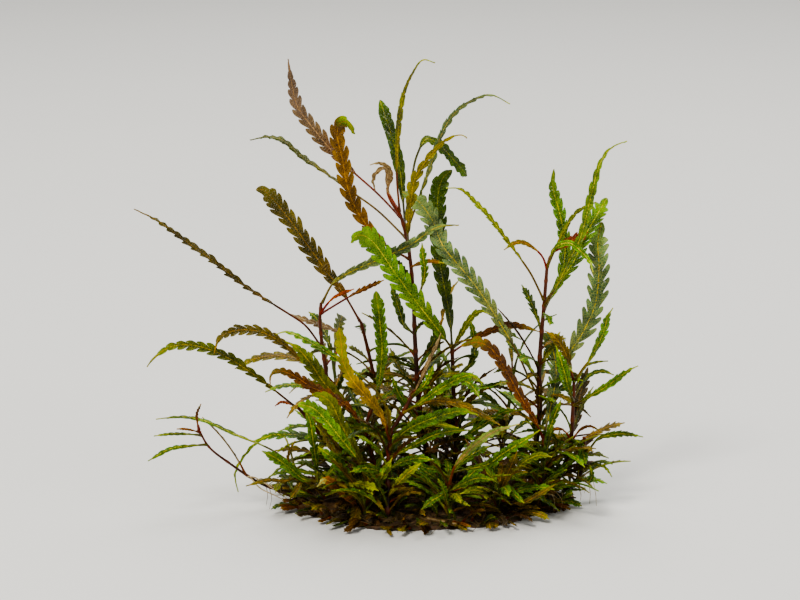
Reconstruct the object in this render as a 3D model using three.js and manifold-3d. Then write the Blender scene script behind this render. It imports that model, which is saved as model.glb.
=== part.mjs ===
// Hygrophila pinnatifida: a submerged clump of lobed leaves on creeping rhizomes.
// Millimetres, +Z up, the origin in the middle of the flat cut under the rhizome mat.
import * as THREE from "three";
import { mergeVertices } from "three/addons/utils/BufferGeometryUtils.js";
import Module from "manifold-3d";

const wasm = await Module();
wasm.setup();

// The viewpoint that the routes are written from: its distance, how far it looks down,
// and the point that it looks at, across and up from the origin.
const VIEW = { distance: 1500, tilt: 12, across: -10, rise: 101 };

// The rhizome mat: half lengths of its oval, its middle, its height and the height of its rim.
// rings are shares of its radius, and foot is the share at the cut. An edge wave has its count
// around the mat, its share of the radius and its phase.
const MAT = {
  halfX: 68.5,
  halfY: 51,
  middleX: 2,
  height: 7.5,
  rim: 1.5,
  spokes: 24,
  foot: 0.985,
  rings: [1, 0.78, 0.4],
  edgeWaves: [[3, 0.035, 0.6], [7, 0.025, 2.1]],
  lumps: { count: 5, height: 0.7, phase: 1.3 },
};

// The rhizomes that creep over it: from and to are angles on its rim, in degrees, and bend is
// how far the middle of a run lies to one side.
const RHIZOME = {
  radius: 1.6,
  sunk: 0.2,
  reach: 0.97,
  steps: 3,
  sides: 4,
  runs: [[200, 350, 8], [165, 20, -9]],
};

// The clear space between pieces that touch.
const GAP = 0.3;
const STEM_SIDES = 5;
// A stem rises straight for this far, and has this many steps, and one more for each length.
const STEM_START = 4;
const STEM_STEPS = 3;
const STEM_STEP_LENGTH = 20;
const PETIOLE_RADIUS = 0.55;
// A petiole over this share of a leaf has a bend of its own.
const LONG_PETIOLE = 0.18;
// How far the midrib stands out under a blade, and half the width of a blade's tip.
const KEEL = 0.4;
const TIP_HALF = 0.3;
// How much the two halves of a blade rise beside the midrib, as a share of their width.
const FOLD = 0.12;
// A blade starts at a share of its full width, and widens along its length at a rate.
const BLADE = { start: 0.35, widen: 2.4 };
// It narrows to its tip over a share of its length, by a power.
const POINTED = { share: 0.42, power: 0.8 };
const ROUNDED = { share: 0.24, power: 0.55 };
// The leaves that stay broad to a rounded tip.
const ROUND_TIPS = [
  "leaf_dark_top", "leaf_dark_upright", "leaf_hanging_dark", "leaf_olive_left", "leaf_bright_broad",
  "leaf_sage_long", "leaf_sage_right", "leaf_sage_inner_right", "leaf_fern_left", "leaf_fern_right",
  "leaf_green_mid", "leaf_ochre_tall", "leaf_amber_front", "leaf_bright_low_left",
  "leaf_olive_low_left", "leaf_rust_right",
];
// Shares of the blade at which the first lobe starts and the last one ends, how far a lobe
// points forward as a share of the space between two lobes, and the most as a share of its
// half width. Past the last lobe the blade narrows once more before its tip.
const LOBES = { from: 0.02, to: 0.84, reach: 0.75, most: 1.2, last: 0.94, narrow: 0.7 };
// A blade without lobes: shares of its length, with half its width there as a share of its width.
const PLAIN_BLADE = [[0.12, 0.3], [0.55, 0.5]];
// Short leaves up to this width have a plain blade, and wider ones this many lobes a side.
const SMALL_LEAF = 5.6;
const SHORT_LEAF_LOBES = 2;
// Steps of the frames along a leaf, of the points along a stem, and of an arched leaf.
const FRAME_STEPS = 96;
const STEM_POINTS = 200;
const ARCH_STEPS = 5;
// How many points around a stem's foot are tried on the mat.
const FOOT_RAYS = 8;

const TINTS = {
  bright: "#8cc63f",
  lime: "#a8b84a",
  green: "#4f8a2c",
  dark: "#2f5a1e",
  sage: "#64876a",
  olive: "#6f6a12",
  olive_green: "#77832a",
  yellow_green: "#8f9a24",
  yellow: "#a3a012",
  amber: "#a88a1a",
  ochre: "#a5741a",
  rust: "#9a4a10",
  rust_green: "#8a5a1e",
  mauve: "#7a5a45",
  stem: "#5a2a18",
  mat: "#4a3a1e",
};

// Stems and runners. foot is where each rises from the mat, as x and y. path goes on from
// there in points as the viewpoint sees them: across and up from the origin, and how far they
// lie behind the origin's upright plane. radii are at the foot and at the top.
const STEMS = {
  stem_centre: { radii: [1.4, 0.8], foot: [4, 2], path: [[3.5, 23.5, 4], [0, 43.5, 2], [-2.5, 81, 3],
    [-3.5, 106, 2], [-6, 128.5, 0], [-9.5, 142.5, -1], [-11.5, 147, -1]] },
  stem_left_red: { radii: [1.3, 0.75], foot: [-34, -8], path: [[-38, 22, -6], [-41, 36, -4],
    [-45.5, 56, -2], [-47.5, 68, -1], [-50, 90, -1], [-49.5, 99.5, -2]] },
  stem_right_tall: { radii: [1.5, 0.8], foot: [57, 1], path: [[57.5, 23.5, 2], [59.5, 42, 1],
    [60, 52, 1], [59.5, 64, 0], [60.5, 81, 0], [62, 98, 0], [63.5, 117.5, -2]] },
  stem_right_outer: { radii: [1.3, 0.8], foot: [63, -8], path: [[67.5, 10.5, -8], [71, 16, -7],
    [75, 28, -6], [76.5, 48.5, -5], [77, 61, -5]] },
  stem_front: { radii: [1.3, 0.9], foot: [-16, -44], path: [[-16, 8, -39], [-15.5, 23.5, -35],
    [-14.5, 34.5, -34], [-12, 39, -34], [-8, 45.5, -33], [-3, 55.5, -32]] },
  stem_behind_centre: { radii: [1.3, 0.9], foot: [17, 9], path: [[18, 31, 7], [17, 51, 6], [16, 77.5, 3]] },
  stem_back_left: { radii: [1.2, 0.8], foot: [-14, 28], path: [[-17.5, 36, 27], [-21, 53.5, 25],
    [-26, 76, 22], [-29.5, 90, 18]] },
  stem_left_inner: { radii: [1.2, 0.8], foot: [-36, 4], path: [[-41, 22, 7], [-50, 33.5, 6],
    [-58.5, 44.5, 4], [-62, 48, 2]] },
  stem_mid_left: { radii: [1.2, 0.8], foot: [-20, -18], path: [[-22.5, 18.5, -17], [-27, 37, -16],
    [-24, 47, -14], [-21.5, 52.5, -12]] },
  stem_right_inner: { radii: [1.2, 0.8], foot: [58, -19], path: [[62.5, 18.5, -16], [61.5, 33, -13]] },
  stem_right_low: { radii: [1.1, 0.7], foot: [67, 0], path: [[75, 7.5, -4], [81, 16, -8],
    [82.5, 24, -10], [82, 32.5, -12]] },
  runner_left: { radii: [1.2, 0.7], foot: [-62, -8], path: [[-72.5, 6.5, -9], [-79, 9, -11],
    [-86, 13, -13], [-94, 18.5, -15], [-105.5, 27.5, -19], [-111, 37, -22]] },
  shoot_front_left: { radii: [1.1, 0.7], foot: [-27, -35], path: [[-27, 1, -32], [-26.5, 6, -31]] },
  shoot_front_right: { radii: [1.1, 0.7], foot: [14, -40], path: [[14.5, 7, -38], [15, 16, -36]] },
  shoot_low_left: { radii: [1.1, 0.7], foot: [-30, -29], path: [[-41, 6.5, -30], [-49, 9.5, -29],
    [-59, 12.5, -27], [-64.5, 19.5, -26]] },
  shoot_low_right: { radii: [1.1, 0.7], foot: [38, -29], path: [[39, 1, -31], [41, 7, -32],
    [44, 12, -32]] },
};

// The leaves that are pieces of their own: name, stem, width over the lobes, share of bare
// petiole, lobes a side, how deep they are cut, the turn of the blade's face away from the
// viewpoint, tint, and the route of the midrib as above.
const LEAVES = [
  ["leaf_mauve_tall", "stem_centre", 8.5, 0.3, 8, 0.45, 20, "mauve", [[-10, 142.5, 0], [-21, 154, 6],
    [-35, 166.5, 12], [-44.5, 176, 15], [-54, 187.5, 18], [-61.5, 198, 19], [-64.5, 211, 18],
    [-66, 221.5, 14]]],
  ["leaf_ochre_tall", "stem_centre", 9, 0.14, 8, 0.5, 10, "ochre", [[-7.5, 120, -3], [-16.5, 128, -7],
    [-23.5, 134.5, -11], [-32.5, 147.5, -16], [-36.5, 158.5, -20], [-39, 172, -24], [-41.5, 183.5, -28],
    [-40.5, 189, -32], [-37, 190.5, -36], [-32.5, 184, -38]]],
  ["leaf_thin_high_left", "stem_centre", 6.5, 0.45, 7, 0.4, 60, "lime", [[-7.5, 133, 3],
    [-21.5, 146, 12], [-32.5, 154, 18], [-49.5, 166, 26], [-58.5, 172, 29], [-68.5, 180.5, 32],
    [-76, 182.5, 33], [-85, 181, 33]]],
  ["leaf_slender_top", "stem_centre", 5.5, 0.24, 6, 0.35, 15, "olive", [[-10.5, 145, -3],
    [-11.5, 161, -6], [-11.5, 173.5, -8], [-10.5, 191, -10], [-8, 205, -12], [-4, 214, -15],
    [1.5, 221, -19], [7.5, 219.5, -22]]],
  ["leaf_dark_top", "stem_centre", 8, 0.25, 7, 0.12, -15, "dark", [[-8, 137, 8], [-8.5, 151, 14],
    [-10, 166, 18], [-13.5, 181, 22], [-17, 192, 26], [-20, 201, 30]]],
  ["leaf_yellow_gappy", "stem_centre", 7.5, 0.1, 7, 0.62, 10, "yellow", [[-6.5, 127, -6],
    [-6, 138, -11], [-4.5, 151.5, -16], [-2.5, 162, -20], [4.5, 172.5, -24], [13, 181, -28],
    [20.5, 183.5, -32], [23.5, 182, -34]]],
  ["leaf_arched_top_right", "stem_centre", 7, 0.15, 9, 0.5, 35, "sage", [[-5, 136, 4], [0, 153.5, 10],
    [4, 164.5, 12], [10, 182.5, 12], [15, 192, 10], [23.5, 199.5, 7], [35, 203.5, 2], [45, 199, -3]]],
  ["leaf_hanging_dark", "stem_centre", 7.5, 0.45, 5, 0.2, -10, "dark", [[-8, 140, 6], [-5, 156, 18],
    [-1.5, 173.5, 24], [3.5, 181.5, 28], [10.5, 177.5, 31], [18, 169.5, 34], [23.5, 163, 36]]],
  ["leaf_bright_broad", "stem_behind_centre", 12, 0.07, 9, 0.48, 5, "bright", [[15.5, 76.5, -2],
    [9.5, 85.5, -8], [-4.5, 103.5, -18], [-13.5, 116, -25], [-21, 127, -31], [-24.5, 131, -34],
    [-29, 133.5, -37], [-33, 132.5, -40], [-34.5, 129.5, -42]]],
  ["leaf_dark_upright", "stem_behind_centre", 9.5, 0.08, 9, 0.3, -10, "dark", [[17, 78.5, 6],
    [15, 92, 9], [13, 103.5, 11], [10, 120, 12], [9, 138.5, 13], [9, 153.5, 13], [11.5, 162, 11],
    [16, 166, 9]]],
  ["leaf_sage_long", "stem_right_tall", 10.5, 0.26, 10, 0.5, 5, "sage", [[59, 51.5, -2], [55, 60.5, -4],
    [49.5, 73, -6], [43.5, 83.5, -7], [30, 105, -7], [20.5, 117, -6], [11.5, 128, -4], [6, 141, 0],
    [-1, 150.5, 3], [-9, 155, 4]]],
  ["leaf_sage_left", "stem_left_red", 6.5, 0.12, 8, 0.4, 25, "sage", [[-49.5, 101.5, 0], [-43, 110, -3],
    [-34, 115.5, -6], [-22.5, 120.5, -10], [-14.5, 124, -14], [-3.5, 129.5, -18], [8.5, 137.5, -21],
    [19.5, 138.5, -22]]],
  ["leaf_olive_left", "stem_back_left", 10, 0.14, 8, 0.42, 10, "olive", [[-29.5, 90, 18],
    [-39, 105.5, 20], [-43.5, 111, 21], [-52, 122.5, 23], [-57, 129.5, 24], [-67.5, 144, 28],
    [-78.5, 156, 30], [-82, 156, 30]]],
  ["leaf_long_left", "stem_left_red", 6, 0.28, 10, 0.5, 55, "olive_green", [[-49, 77.5, -2],
    [-57.5, 88.5, -6], [-65.5, 94, -9], [-73.5, 99, -12], [-88.5, 108.5, -17], [-103.5, 120.5, -22],
    [-117, 130, -26], [-132, 141, -30], [-143, 146.5, -32]]],
  ["leaf_slender_right", "stem_right_tall", 5.5, 0.3, 8, 0.6, 40, "lime", [[61.5, 100.5, -3],
    [55.5, 114, -8], [51.5, 120, -10], [44, 130, -14], [35, 142, -18], [27.5, 150, -22],
    [20, 156.5, -26], [13, 157, -28]]],
  ["leaf_far_right_tall", "stem_right_tall", 6, 0.1, 8, 0.4, 25, "lime", [[63, 97.5, -4],
    [69, 109.5, -10], [75, 122, -14], [80, 132, -17], [86, 155.5, -22], [90, 169.5, -25],
    [95.5, 177, -29], [103.5, 180.5, -32]]],
  ["leaf_fern_right", "stem_right_tall", 10, 0.08, 8, 0.5, -5, "green", [[63, 101, 2], [67.5, 106.5, 4],
    [72, 113, 6], [77, 120.5, 8], [81.5, 131, 10], [87, 141, 13], [93.5, 152, 17]]],
  ["leaf_fern_left", "stem_right_tall", 8.5, 0.1, 8, 0.5, -15, "green", [[62.5, 96.5, 5],
    [66.5, 104.5, 12], [70, 111, 15], [72.5, 123.5, 19], [72, 133.5, 22], [69.5, 146, 25],
    [66.5, 157.5, 27], [67, 166.5, 28]]],
  ["leaf_sage_right", "stem_right_outer", 11.5, 0.14, 9, 0.66, 0, "sage", [[76.5, 50.5, 2],
    [73.5, 62, 8], [74, 72.5, 10], [81.5, 85, 12], [87.5, 98.5, 13], [89.5, 116, 14], [89, 131, 16],
    [91, 140, 18]]],
  ["leaf_bright_right", "stem_right_outer", 5.5, 0.3, 5, 0.35, 30, "bright", [[77.5, 60, -6],
    [82, 67.5, -12], [84.5, 70.5, -14], [87, 75, -16], [91.5, 84.5, -20], [94, 93, -23],
    [96.5, 97, -25]]],
  ["leaf_bright_far_right", "stem_right_outer", 4.5, 0.15, 5, 0.3, 30, "bright", [[76.5, 48, -7],
    [85, 53, -14], [94, 58.5, -20], [104.5, 66, -26], [109, 68, -29]]],
  ["leaf_orange_right", "stem_right_outer", 5.5, 0.2, 5, 0.4, 10, "rust", [[76.5, 61.5, -8],
    [73.5, 72.5, -15], [70.5, 78.5, -19], [66, 83.5, -23], [62.5, 85.5, -25]]],
  ["leaf_green_right", "stem_right_outer", 6, 0.15, 6, 0.4, 0, "green", [[76, 50, -9],
    [74.5, 56.5, -18], [72, 65.5, -23], [70, 72, -26], [68, 78, -28]]],
  ["leaf_sage_inner_right", "stem_right_inner", 9, 0.12, 8, 0.5, 10, "sage", [[62, 33, -10],
    [66, 51, -2], [68, 63, 2], [67.5, 71, 4], [65.5, 78.5, 5], [61.5, 84.5, 5]]],
  ["leaf_rust_right", "stem_right_inner", 8, 0.08, 7, 0.5, 10, "rust", [[61.5, 32.5, -14],
    [57, 41.5, -18], [50.5, 52, -22], [44.5, 63, -26], [39, 72.5, -30], [34.5, 77.5, -33],
    [28, 80, -37], [20.5, 78, -41]]],
  ["leaf_brown_centre", "stem_behind_centre", 5, 0.12, 6, 0.35, 30, "rust", [[16.5, 76, 6],
    [25, 80.5, 12], [36, 86, 16], [44, 88.5, 19], [52, 87.5, 22], [60, 85, 25]]],
  ["leaf_green_mid", "stem_mid_left", 8, 0.06, 8, 0.4, 0, "green", [[-21, 52.5, -10], [-20, 63.5, -11],
    [-19, 76, -12], [-19.5, 83.5, -13], [-20.5, 93.5, -15], [-22, 105.5, -18]]],
  ["leaf_rust_left", "stem_left_red", 7, 0.18, 8, 0.55, 35, "rust_green", [[-46.5, 61, -3],
    [-59, 70.5, -8], [-67.5, 78, -11], [-77, 84, -14], [-86, 86, -17], [-95, 85, -21],
    [-100.5, 81.5, -24], [-103, 74, -27]]],
  ["leaf_lime_high_left", "stem_front", 6, 0.42, 6, 0.4, 55, "bright", [[-14.5, 34, -32],
    [-16, 45, -37], [-24, 58, -42], [-35.5, 67, -46], [-47, 75, -50], [-57.5, 81, -52], [-67, 85, -54],
    [-72, 84, -56]]],
  ["leaf_olive_mid_left", "stem_mid_left", 8, 0.15, 7, 0.35, 10, "olive_green", [[-27, 36, -15],
    [-39, 50.5, -20], [-48, 59.5, -23], [-54.5, 69, -26], [-61.5, 77, -28], [-67.5, 80.5, -30]]],
  ["leaf_rust_mid_left", "stem_mid_left", 7, 0.14, 8, 0.5, 30, "rust", [[-26.5, 33, -18],
    [-35, 46.5, -27], [-44, 52.5, -30], [-54.5, 57.5, -34], [-64, 63.5, -38], [-71, 65.5, -42],
    [-74.5, 63.5, -44], [-75, 58.5, -46]]],
  ["leaf_amber_front", "stem_front", 9, 0.1, 8, 0.5, 15, "amber", [[-15.5, 31, -37], [-20, 44.5, -44],
    [-27, 53, -49], [-34, 61, -54], [-38.5, 70, -59], [-39.5, 78.5, -63], [-40.5, 87, -66]]],
  ["leaf_long_low_left", "stem_left_inner", 7, 0.14, 9, 0.55, 35, "olive_green", [[-61.5, 47.5, 1],
    [-73.5, 56.5, -6], [-83, 63.5, -11], [-93.5, 70.5, -17], [-103.5, 75.5, -22], [-115.5, 78.5, -28],
    [-126, 77, -34], [-134, 71, -38], [-136.5, 67.5, -40]]],
  ["leaf_bright_low_left", "shoot_front_left", 7, 0.32, 7, 0.35, 10, "bright", [[-26.5, 6, -32],
    [-27.5, 12, -36], [-32, 22, -42], [-39, 31, -47], [-45.5, 39, -51], [-53.5, 47, -55],
    [-61, 49, -59]]],
  ["leaf_olive_low_left", "stem_mid_left", 6.5, 0.1, 8, 0.35, 10, "yellow_green", [[-23, 15, -19],
    [-29, 20, -27], [-34.5, 29.5, -33], [-40, 40, -37], [-44.5, 49.5, -40], [-49, 53, -43],
    [-54, 54, -46]]],
  ["leaf_hooked_front", "stem_front", 5, 0.12, 6, 0.2, 20, "bright", [[-8, 44.5, -34], [-1, 49, -39],
    [10.5, 57, -46], [22, 63, -53], [26.5, 63.5, -57], [30, 61, -60], [31, 58, -61]]],
  ["leaf_green_front", "stem_front", 9, 0.05, 7, 0.4, 0, "green", [[-15, 26, -37], [-9, 34, -43],
    [-2, 38.5, -50], [13, 44, -62], [21, 45.5, -68], [29, 43.5, -74]]],
  ["leaf_pale_front", "shoot_front_right", 5, 0.22, 7, 0.4, 25, "lime", [[15, 9, -38], [17.5, 18, -46],
    [22, 23.5, -51], [29, 30, -59], [37.5, 35.5, -66], [49.5, 39, -73]]],
  ["leaf_green_front_right", "shoot_front_right", 6.5, 0.12, 7, 0.4, 10, "green", [[15, 14.5, -35],
    [23.5, 16.5, -38], [34, 19, -42], [41, 24, -46], [50, 29.5, -51], [60, 36, -56]]],
  ["leaf_bright_low_right", "stem_right_low", 4, 0.25, 5, 0.3, 30, "bright", [[82.5, 23.5, -10],
    [89, 31.5, -16], [97.5, 34, -22], [104.5, 34, -27], [111.5, 32.5, -31]]],
];

// The short leaves that are one with their stem: stem, width, share of bare petiole, how deep
// the lobes are cut, the turn of the blade's face, and the route of the midrib.
const SHORT_LEAVES = [
  ["stem_centre", 3, 0.35, 0.3, 20, [[-10, 143, 0], [-14.5, 150, -4], [-16.5, 156, -6],
    [-14.5, 162, -9], [-16, 167.5, -12], [-21, 169.5, -15], [-25, 168.5, -17]]],
  ["stem_centre", 3, 0.2, 0.3, -20, [[-11, 146.5, 0], [-16, 156, 6], [-17, 167, 8],
    [-21.5, 165, 10], [-23.5, 160.5, 12], [-22, 154.5, 13]]],
  ["stem_centre", 3, 0.1, 0.3, 10, [[-4.5, 117, 0], [-1, 119, -6], [4.5, 120.5, -9],
    [12, 119.5, -12]]],
  ["stem_centre", 5, 0.4, 0.4, 0, [[-3.5, 101, 0], [0, 105, -10], [2.5, 116, -20],
    [1.5, 123.5, -24], [1, 129.5, -26]]],
  ["stem_centre", 5.5, 0.08, 0.4, 0, [[-3, 83.5, 0], [-8, 88.5, 8], [-10, 95, 10],
    [-12, 101, 12], [-14.5, 108.5, 14]]],
  ["stem_centre", 5.5, 0.1, 0.4, 0, [[2, 31, 4], [8, 41, 14], [12, 51, 19], [14.5, 61, 22]]],
  ["stem_centre", 5, 0.1, 0.4, 0, [[0.5, 38.5, 3], [-6, 47, -5], [-11, 55, -9],
    [-14, 63, -12]]],
  ["stem_centre", 5.5, 0.1, 0.4, 0, [[-2, 65, 3], [4, 75, 10], [7.5, 82, 13], [9.5, 91, 16]]],
  ["stem_centre", 5, 0.1, 0.4, 0, [[-1, 55, 2], [-7.5, 63, 8], [-12, 70, 12],
    [-15, 77, 15]]],
  ["stem_left_red", 2.5, 0.3, 0.3, 20, [[-49, 94.5, 0], [-44, 101.5, -5], [-38.5, 104.5, -8],
    [-33, 106.5, -11]]],
  ["stem_left_red", 3.5, 0.45, 0.4, 20, [[-49, 94, 0], [-39, 100.5, 6], [-29.5, 106, 11],
    [-18, 111, 16]]],
  ["stem_left_red", 4.5, 0.43, 0.4, 20, [[-47, 68, 0], [-37.5, 82.5, 12], [-47, 87.5, 16],
    [-57.5, 91, 19], [-65, 94, 22]]],
  ["stem_right_tall", 3, 0.35, 0.3, 10, [[63.5, 117.5, 0], [61, 123, -6],
    [56, 127.5, -10], [50.5, 130, -14], [46, 129, -17], [42, 126, -19]]],
  ["stem_right_tall", 4.5, 0.3, 0.4, 10, [[63.5, 117, 0], [65, 123, 2], [69, 127, 4],
    [76, 131, 6], [84, 135, 8]]],
  ["stem_right_tall", 4.5, 0.25, 0.4, -10, [[63.5, 117.5, 0], [68.5, 128.5, -8],
    [72.5, 136.5, -12], [78.5, 145, -16], [88, 150, -20]]],
  ["stem_right_tall", 4, 0.2, 0.3, 0, [[63.5, 118.5, -2], [68, 127.5, -14],
    [75, 129.5, -19], [81.5, 124.5, -24], [85, 120, -27], [86.5, 115, -29]]],
  ["stem_right_tall", 5, 0.15, 0.4, 0, [[60, 47, 1], [64, 51, 8], [69, 55.5, 12],
    [75, 59, 15]]],
  ["stem_right_outer", 1.8, 0.2, 0.2, 20, [[77.5, 56, 0], [83, 68, 6], [88.5, 70, 8],
    [94, 70.5, 10]]],
  ["stem_right_outer", 3, 0.2, 0.3, 20, [[76.5, 53, 0], [84, 63, 8], [91, 65.5, 12],
    [97, 63.5, 15]]],
  ["stem_right_outer", 6, 0.1, 0.4, 0, [[75.5, 33, 0], [78, 42, 8], [79.5, 51, 14],
    [81.5, 59, 18], [84, 67.5, 21]]],
  ["stem_right_outer", 2.2, 0.2, 0.2, 20, [[75, 32.5, 0], [71.5, 36, -7], [67.5, 36.5, -10],
    [62.5, 34, -13]]],
  ["stem_right_outer", 2.2, 0.2, 0.2, 20, [[75, 31, 0], [80, 36, -8], [85, 38, -12],
    [90, 35.5, -15]]],
  ["stem_right_outer", 5, 0.15, 0.3, 0, [[75, 30, 0], [78.5, 30.5, -12], [81.5, 25, -17],
    [83, 19, -19]]],
  ["stem_front", 2.8, 0.15, 0.3, 20, [[-3.5, 54.5, 0], [0, 60.5, -30], [4, 70, -27],
    [7.5, 77, -24], [10.5, 84.5, -22]]],
  ["stem_front", 4, 0.15, 0.5, 0, [[-4, 53, -32], [2, 58.5, -40], [5, 64, -43], [7, 69, -45]]],
  ["stem_front", 2.5, 0.3, 0.3, 20, [[-15, 33, -34], [-20.5, 46.5, -30],
    [-26, 53.5, -27], [-34, 63.5, -24]]],
  ["stem_front", 6, 0.1, 0.35, 0, [[-9, 44, -33], [3, 50, -38], [15.5, 50, -42],
    [26, 46.5, -46], [40, 38.5, -50]]],
  ["stem_front", 6, 0.08, 0.35, 0, [[-15, 22, -36], [-2, 29, -44], [7, 33.5, -50],
    [15.5, 35.5, -54], [25, 36, -58]]],
  ["stem_front", 3, 0.2, 0.3, 0, [[-14.5, 34.5, -34], [-4, 37, -30], [7, 39, -27],
    [19.5, 37, -24]]],
  ["stem_front", 6, 0.08, 0.35, 0, [[-15.5, 2.5, -42], [-12, 8, -50],
    [-6.5, 14, -54], [0.5, 19.5, -58]]],
  ["stem_front", 4.5, 0.1, 0.35, 0, [[-16, 12, -40], [-22, 16, -46], [-29, 17, -50],
    [-35, 15, -53]]],
  ["stem_front", 5, 0.1, 0.35, 0, [[-15.5, 16, -38], [-9, 20, -46], [-1, 22, -52],
    [7, 21, -57]]],
  ["stem_behind_centre", 4.5, 0.1, 0.35, 10, [[16.5, 76.5, 3], [21, 85, -4], [25, 91.5, -7],
    [30, 95.5, -10], [34.5, 94, -12]]],
  ["stem_behind_centre", 5, 0.1, 0.4, 0, [[17, 61, 5], [26, 70, 12], [27.5, 78.5, 15],
    [25, 92, 18]]],
  ["stem_behind_centre", 4, 0.12, 0.35, 10, [[18, 29, 7], [26, 35, -4], [36, 41.5, -9],
    [43.5, 45.5, -13], [51, 46, -16]]],
  ["stem_behind_centre", 4, 0.12, 0.35, 0, [[18, 27, 7], [25, 32, 0], [29, 40, -3],
    [32.5, 47, -5]]],
  ["stem_right_low", 2, 0.15, 0.3, 10, [[81.5, 16, -8], [88, 19, -14], [93, 17, -18],
    [96, 12.5, -21]]],
  ["stem_right_low", 3.5, 0.1, 0.3, 0, [[80, 12, -7], [84, 10, -13], [86, 13.5, -17],
    [85, 18, -20]]],
  ["stem_left_inner", 2, 0.2, 0.3, 10, [[-61, 47, 2], [-65, 49, 6], [-69.5, 50, 9],
    [-72.5, 48, 11]]],
  ["stem_left_inner", 4.5, 0.1, 0.35, 0, [[-39, 17, 7], [-44, 21, 0], [-49, 23.5, -5],
    [-54, 25, -8]]],
  ["stem_right_inner", 4.5, 0.1, 0.35, 0, [[62, 28.5, -14], [65.5, 38.5, -18],
    [68, 45, -20], [70.5, 51, -22]]],
  ["stem_right_inner", 4, 0.1, 0.35, 0, [[63, 16, -17], [57, 20, -24], [51.5, 23, -28],
    [46, 23.5, -31]]],
  ["runner_left", 3, 0.12, 0.35, 20, [[-107.5, 28.5, -19], [-115.5, 28, -24],
    [-125, 26.5, -30], [-136, 20.5, -36]]],
  ["runner_left", 2.2, 0.12, 0.3, 20, [[-110, 33, -21], [-117.5, 34, -17], [-125, 34, -13],
    [-133, 33, -9]]],
  ["runner_left", 1.6, 0.15, 0.2, 20, [[-110.5, 34, -22], [-114.5, 36, -26],
    [-118, 36.5, -29], [-121.5, 36.5, -32]]],
  ["runner_left", 2, 0.15, 0.2, 20, [[-110.5, 36, -22], [-111.5, 41, -24],
    [-111.5, 44.5, -26], [-109.5, 49, -28]]],
  ["shoot_low_left", 5.5, 0.1, 0.4, 10, [[-51, 10, -28], [-52, 20.5, -34],
    [-53.5, 30.5, -38], [-55.5, 42, -42], [-58.5, 47, -44]]],
  ["shoot_low_left", 8.5, 0.08, 0.4, 0, [[-34, 2.5, -30], [-36, 12, -38], [-42.5, 21, -43],
    [-51, 27.5, -47]]],
  ["shoot_low_left", 6, 0.1, 0.35, 20, [[-32, -2, -30], [-35, 1.5, -38],
    [-41.5, 7.5, -44], [-47.5, 11, -48], [-51.5, 7.5, -50]]],
  ["shoot_low_left", 6.5, 0.1, 0.35, 10, [[-52, 10.5, -28], [-58.5, 11.5, -33],
    [-65, 17, -36], [-73, 22.5, -39], [-79, 25.5, -41]]],
  ["shoot_low_left", 2.8, 0.2, 0.35, 30, [[-64.5, 19.5, -26], [-75, 26.5, -24],
    [-93, 34, -20], [-107.5, 40.5, -16], [-118.5, 42.5, -13], [-132, 41.5, -9]]],
  ["shoot_low_left", 2.4, 0.15, 0.35, 30, [[-62, 16, -27], [-68.5, 33, -18],
    [-79, 31.5, -14], [-87.5, 23.5, -11], [-92.5, 14, -9], [-91, 5, -8]]],
  ["shoot_low_left", 2.8, 0.15, 0.3, 20, [[-60, 12, -27], [-68, 10.5, -36],
    [-76, 11, -40], [-87, 8, -44]]],
  ["shoot_low_left", 2.4, 0.15, 0.3, 20, [[-62.5, 16, -26], [-66, 21, -31], [-65, 26, -34],
    [-62.5, 30.5, -36]]],
  ["shoot_low_left", 5, 0.1, 0.35, 0, [[-49, 9.5, -29], [-44, 16, -24], [-39, 22, -21],
    [-35, 28, -19]]],
  ["shoot_low_left", 4, 0.1, 0.35, 0, [[-59, 12.5, -27], [-61.5, 6.5, -37],
    [-65, 1.5, -42]]],
  ["shoot_low_right", 6, 0.08, 0.4, 0, [[39.5, 1, -31], [41.5, 9, -37], [45.5, 18, -41],
    [48.5, 25, -44]]],
  ["shoot_low_right", 4, 0.1, 0.3, 20, [[40, 1, -31], [50.5, -0.5, -38],
    [59.5, 4, -42], [68, 9, -45]]],
  ["shoot_low_right", 3.5, 0.1, 0.3, 20, [[44, 11, -32], [50, 14, -28], [56, 15, -26],
    [61, 12.5, -24]]],
  ["shoot_low_right", 5, 0.1, 0.35, 0, [[41.5, 7, -32], [34, 14, -28], [28.5, 22, -25],
    [25, 28, -23]]],
  ["shoot_low_right", 4.5, 0.1, 0.35, 0, [[44, 12, -32], [52, 20, -36], [60, 23.5, -39],
    [66, 22.5, -41]]],
  ["shoot_low_right", 4.5, 0.1, 0.35, 0, [[40, 4, -32], [33, 5, -42], [26, 6, -48],
    [20, 4, -52]]],
  ["shoot_low_right", 4, 0.1, 0.35, 0, [[43, 10.5, -32], [47, 4, -42], [52, -0.5, -47]]],
  ["shoot_front_left", 5, 0.08, 0.35, 0, [[-26.5, 3, -33], [-21.5, 9, -42], [-17, 16, -47],
    [-14, 22, -50]]],
  ["shoot_front_left", 4, 0.1, 0.3, 10, [[-27, 2, -33], [-22, 1, -46], [-18, -4, -54]]],
  ["shoot_front_right", 4, 0.1, 0.3, 0, [[15, 12, -37], [9, 16, -41], [3, 17, -44],
    [-4, 20.5, -46]]],
  ["shoot_front_right", 4, 0.1, 0.3, 10, [[14.5, 7, -39], [10, 3, -48], [5, 0, -53],
    [0.5, -4, -56]]],
  ["shoot_front_right", 5, 0.1, 0.35, 0, [[14.5, 5, -39], [21, 9, -46], [29, 12, -50],
    [37, 11, -53]]],
  ["shoot_front_right", 3, 0.1, 0.3, 10, [[14.5, 4, -40], [19, 1, -50], [25, -2, -55]]],
  ["shoot_front_right", 5, 0.1, 0.35, 0, [[15, 13, -37], [21, 20, -33], [28, 25, -30],
    [35, 28, -28]]],
  ["shoot_front_right", 4.5, 0.1, 0.35, 0, [[14.5, 8, -39], [8, 12, -36], [2, 16, -34],
    [-3, 22, -33]]],
];

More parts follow.
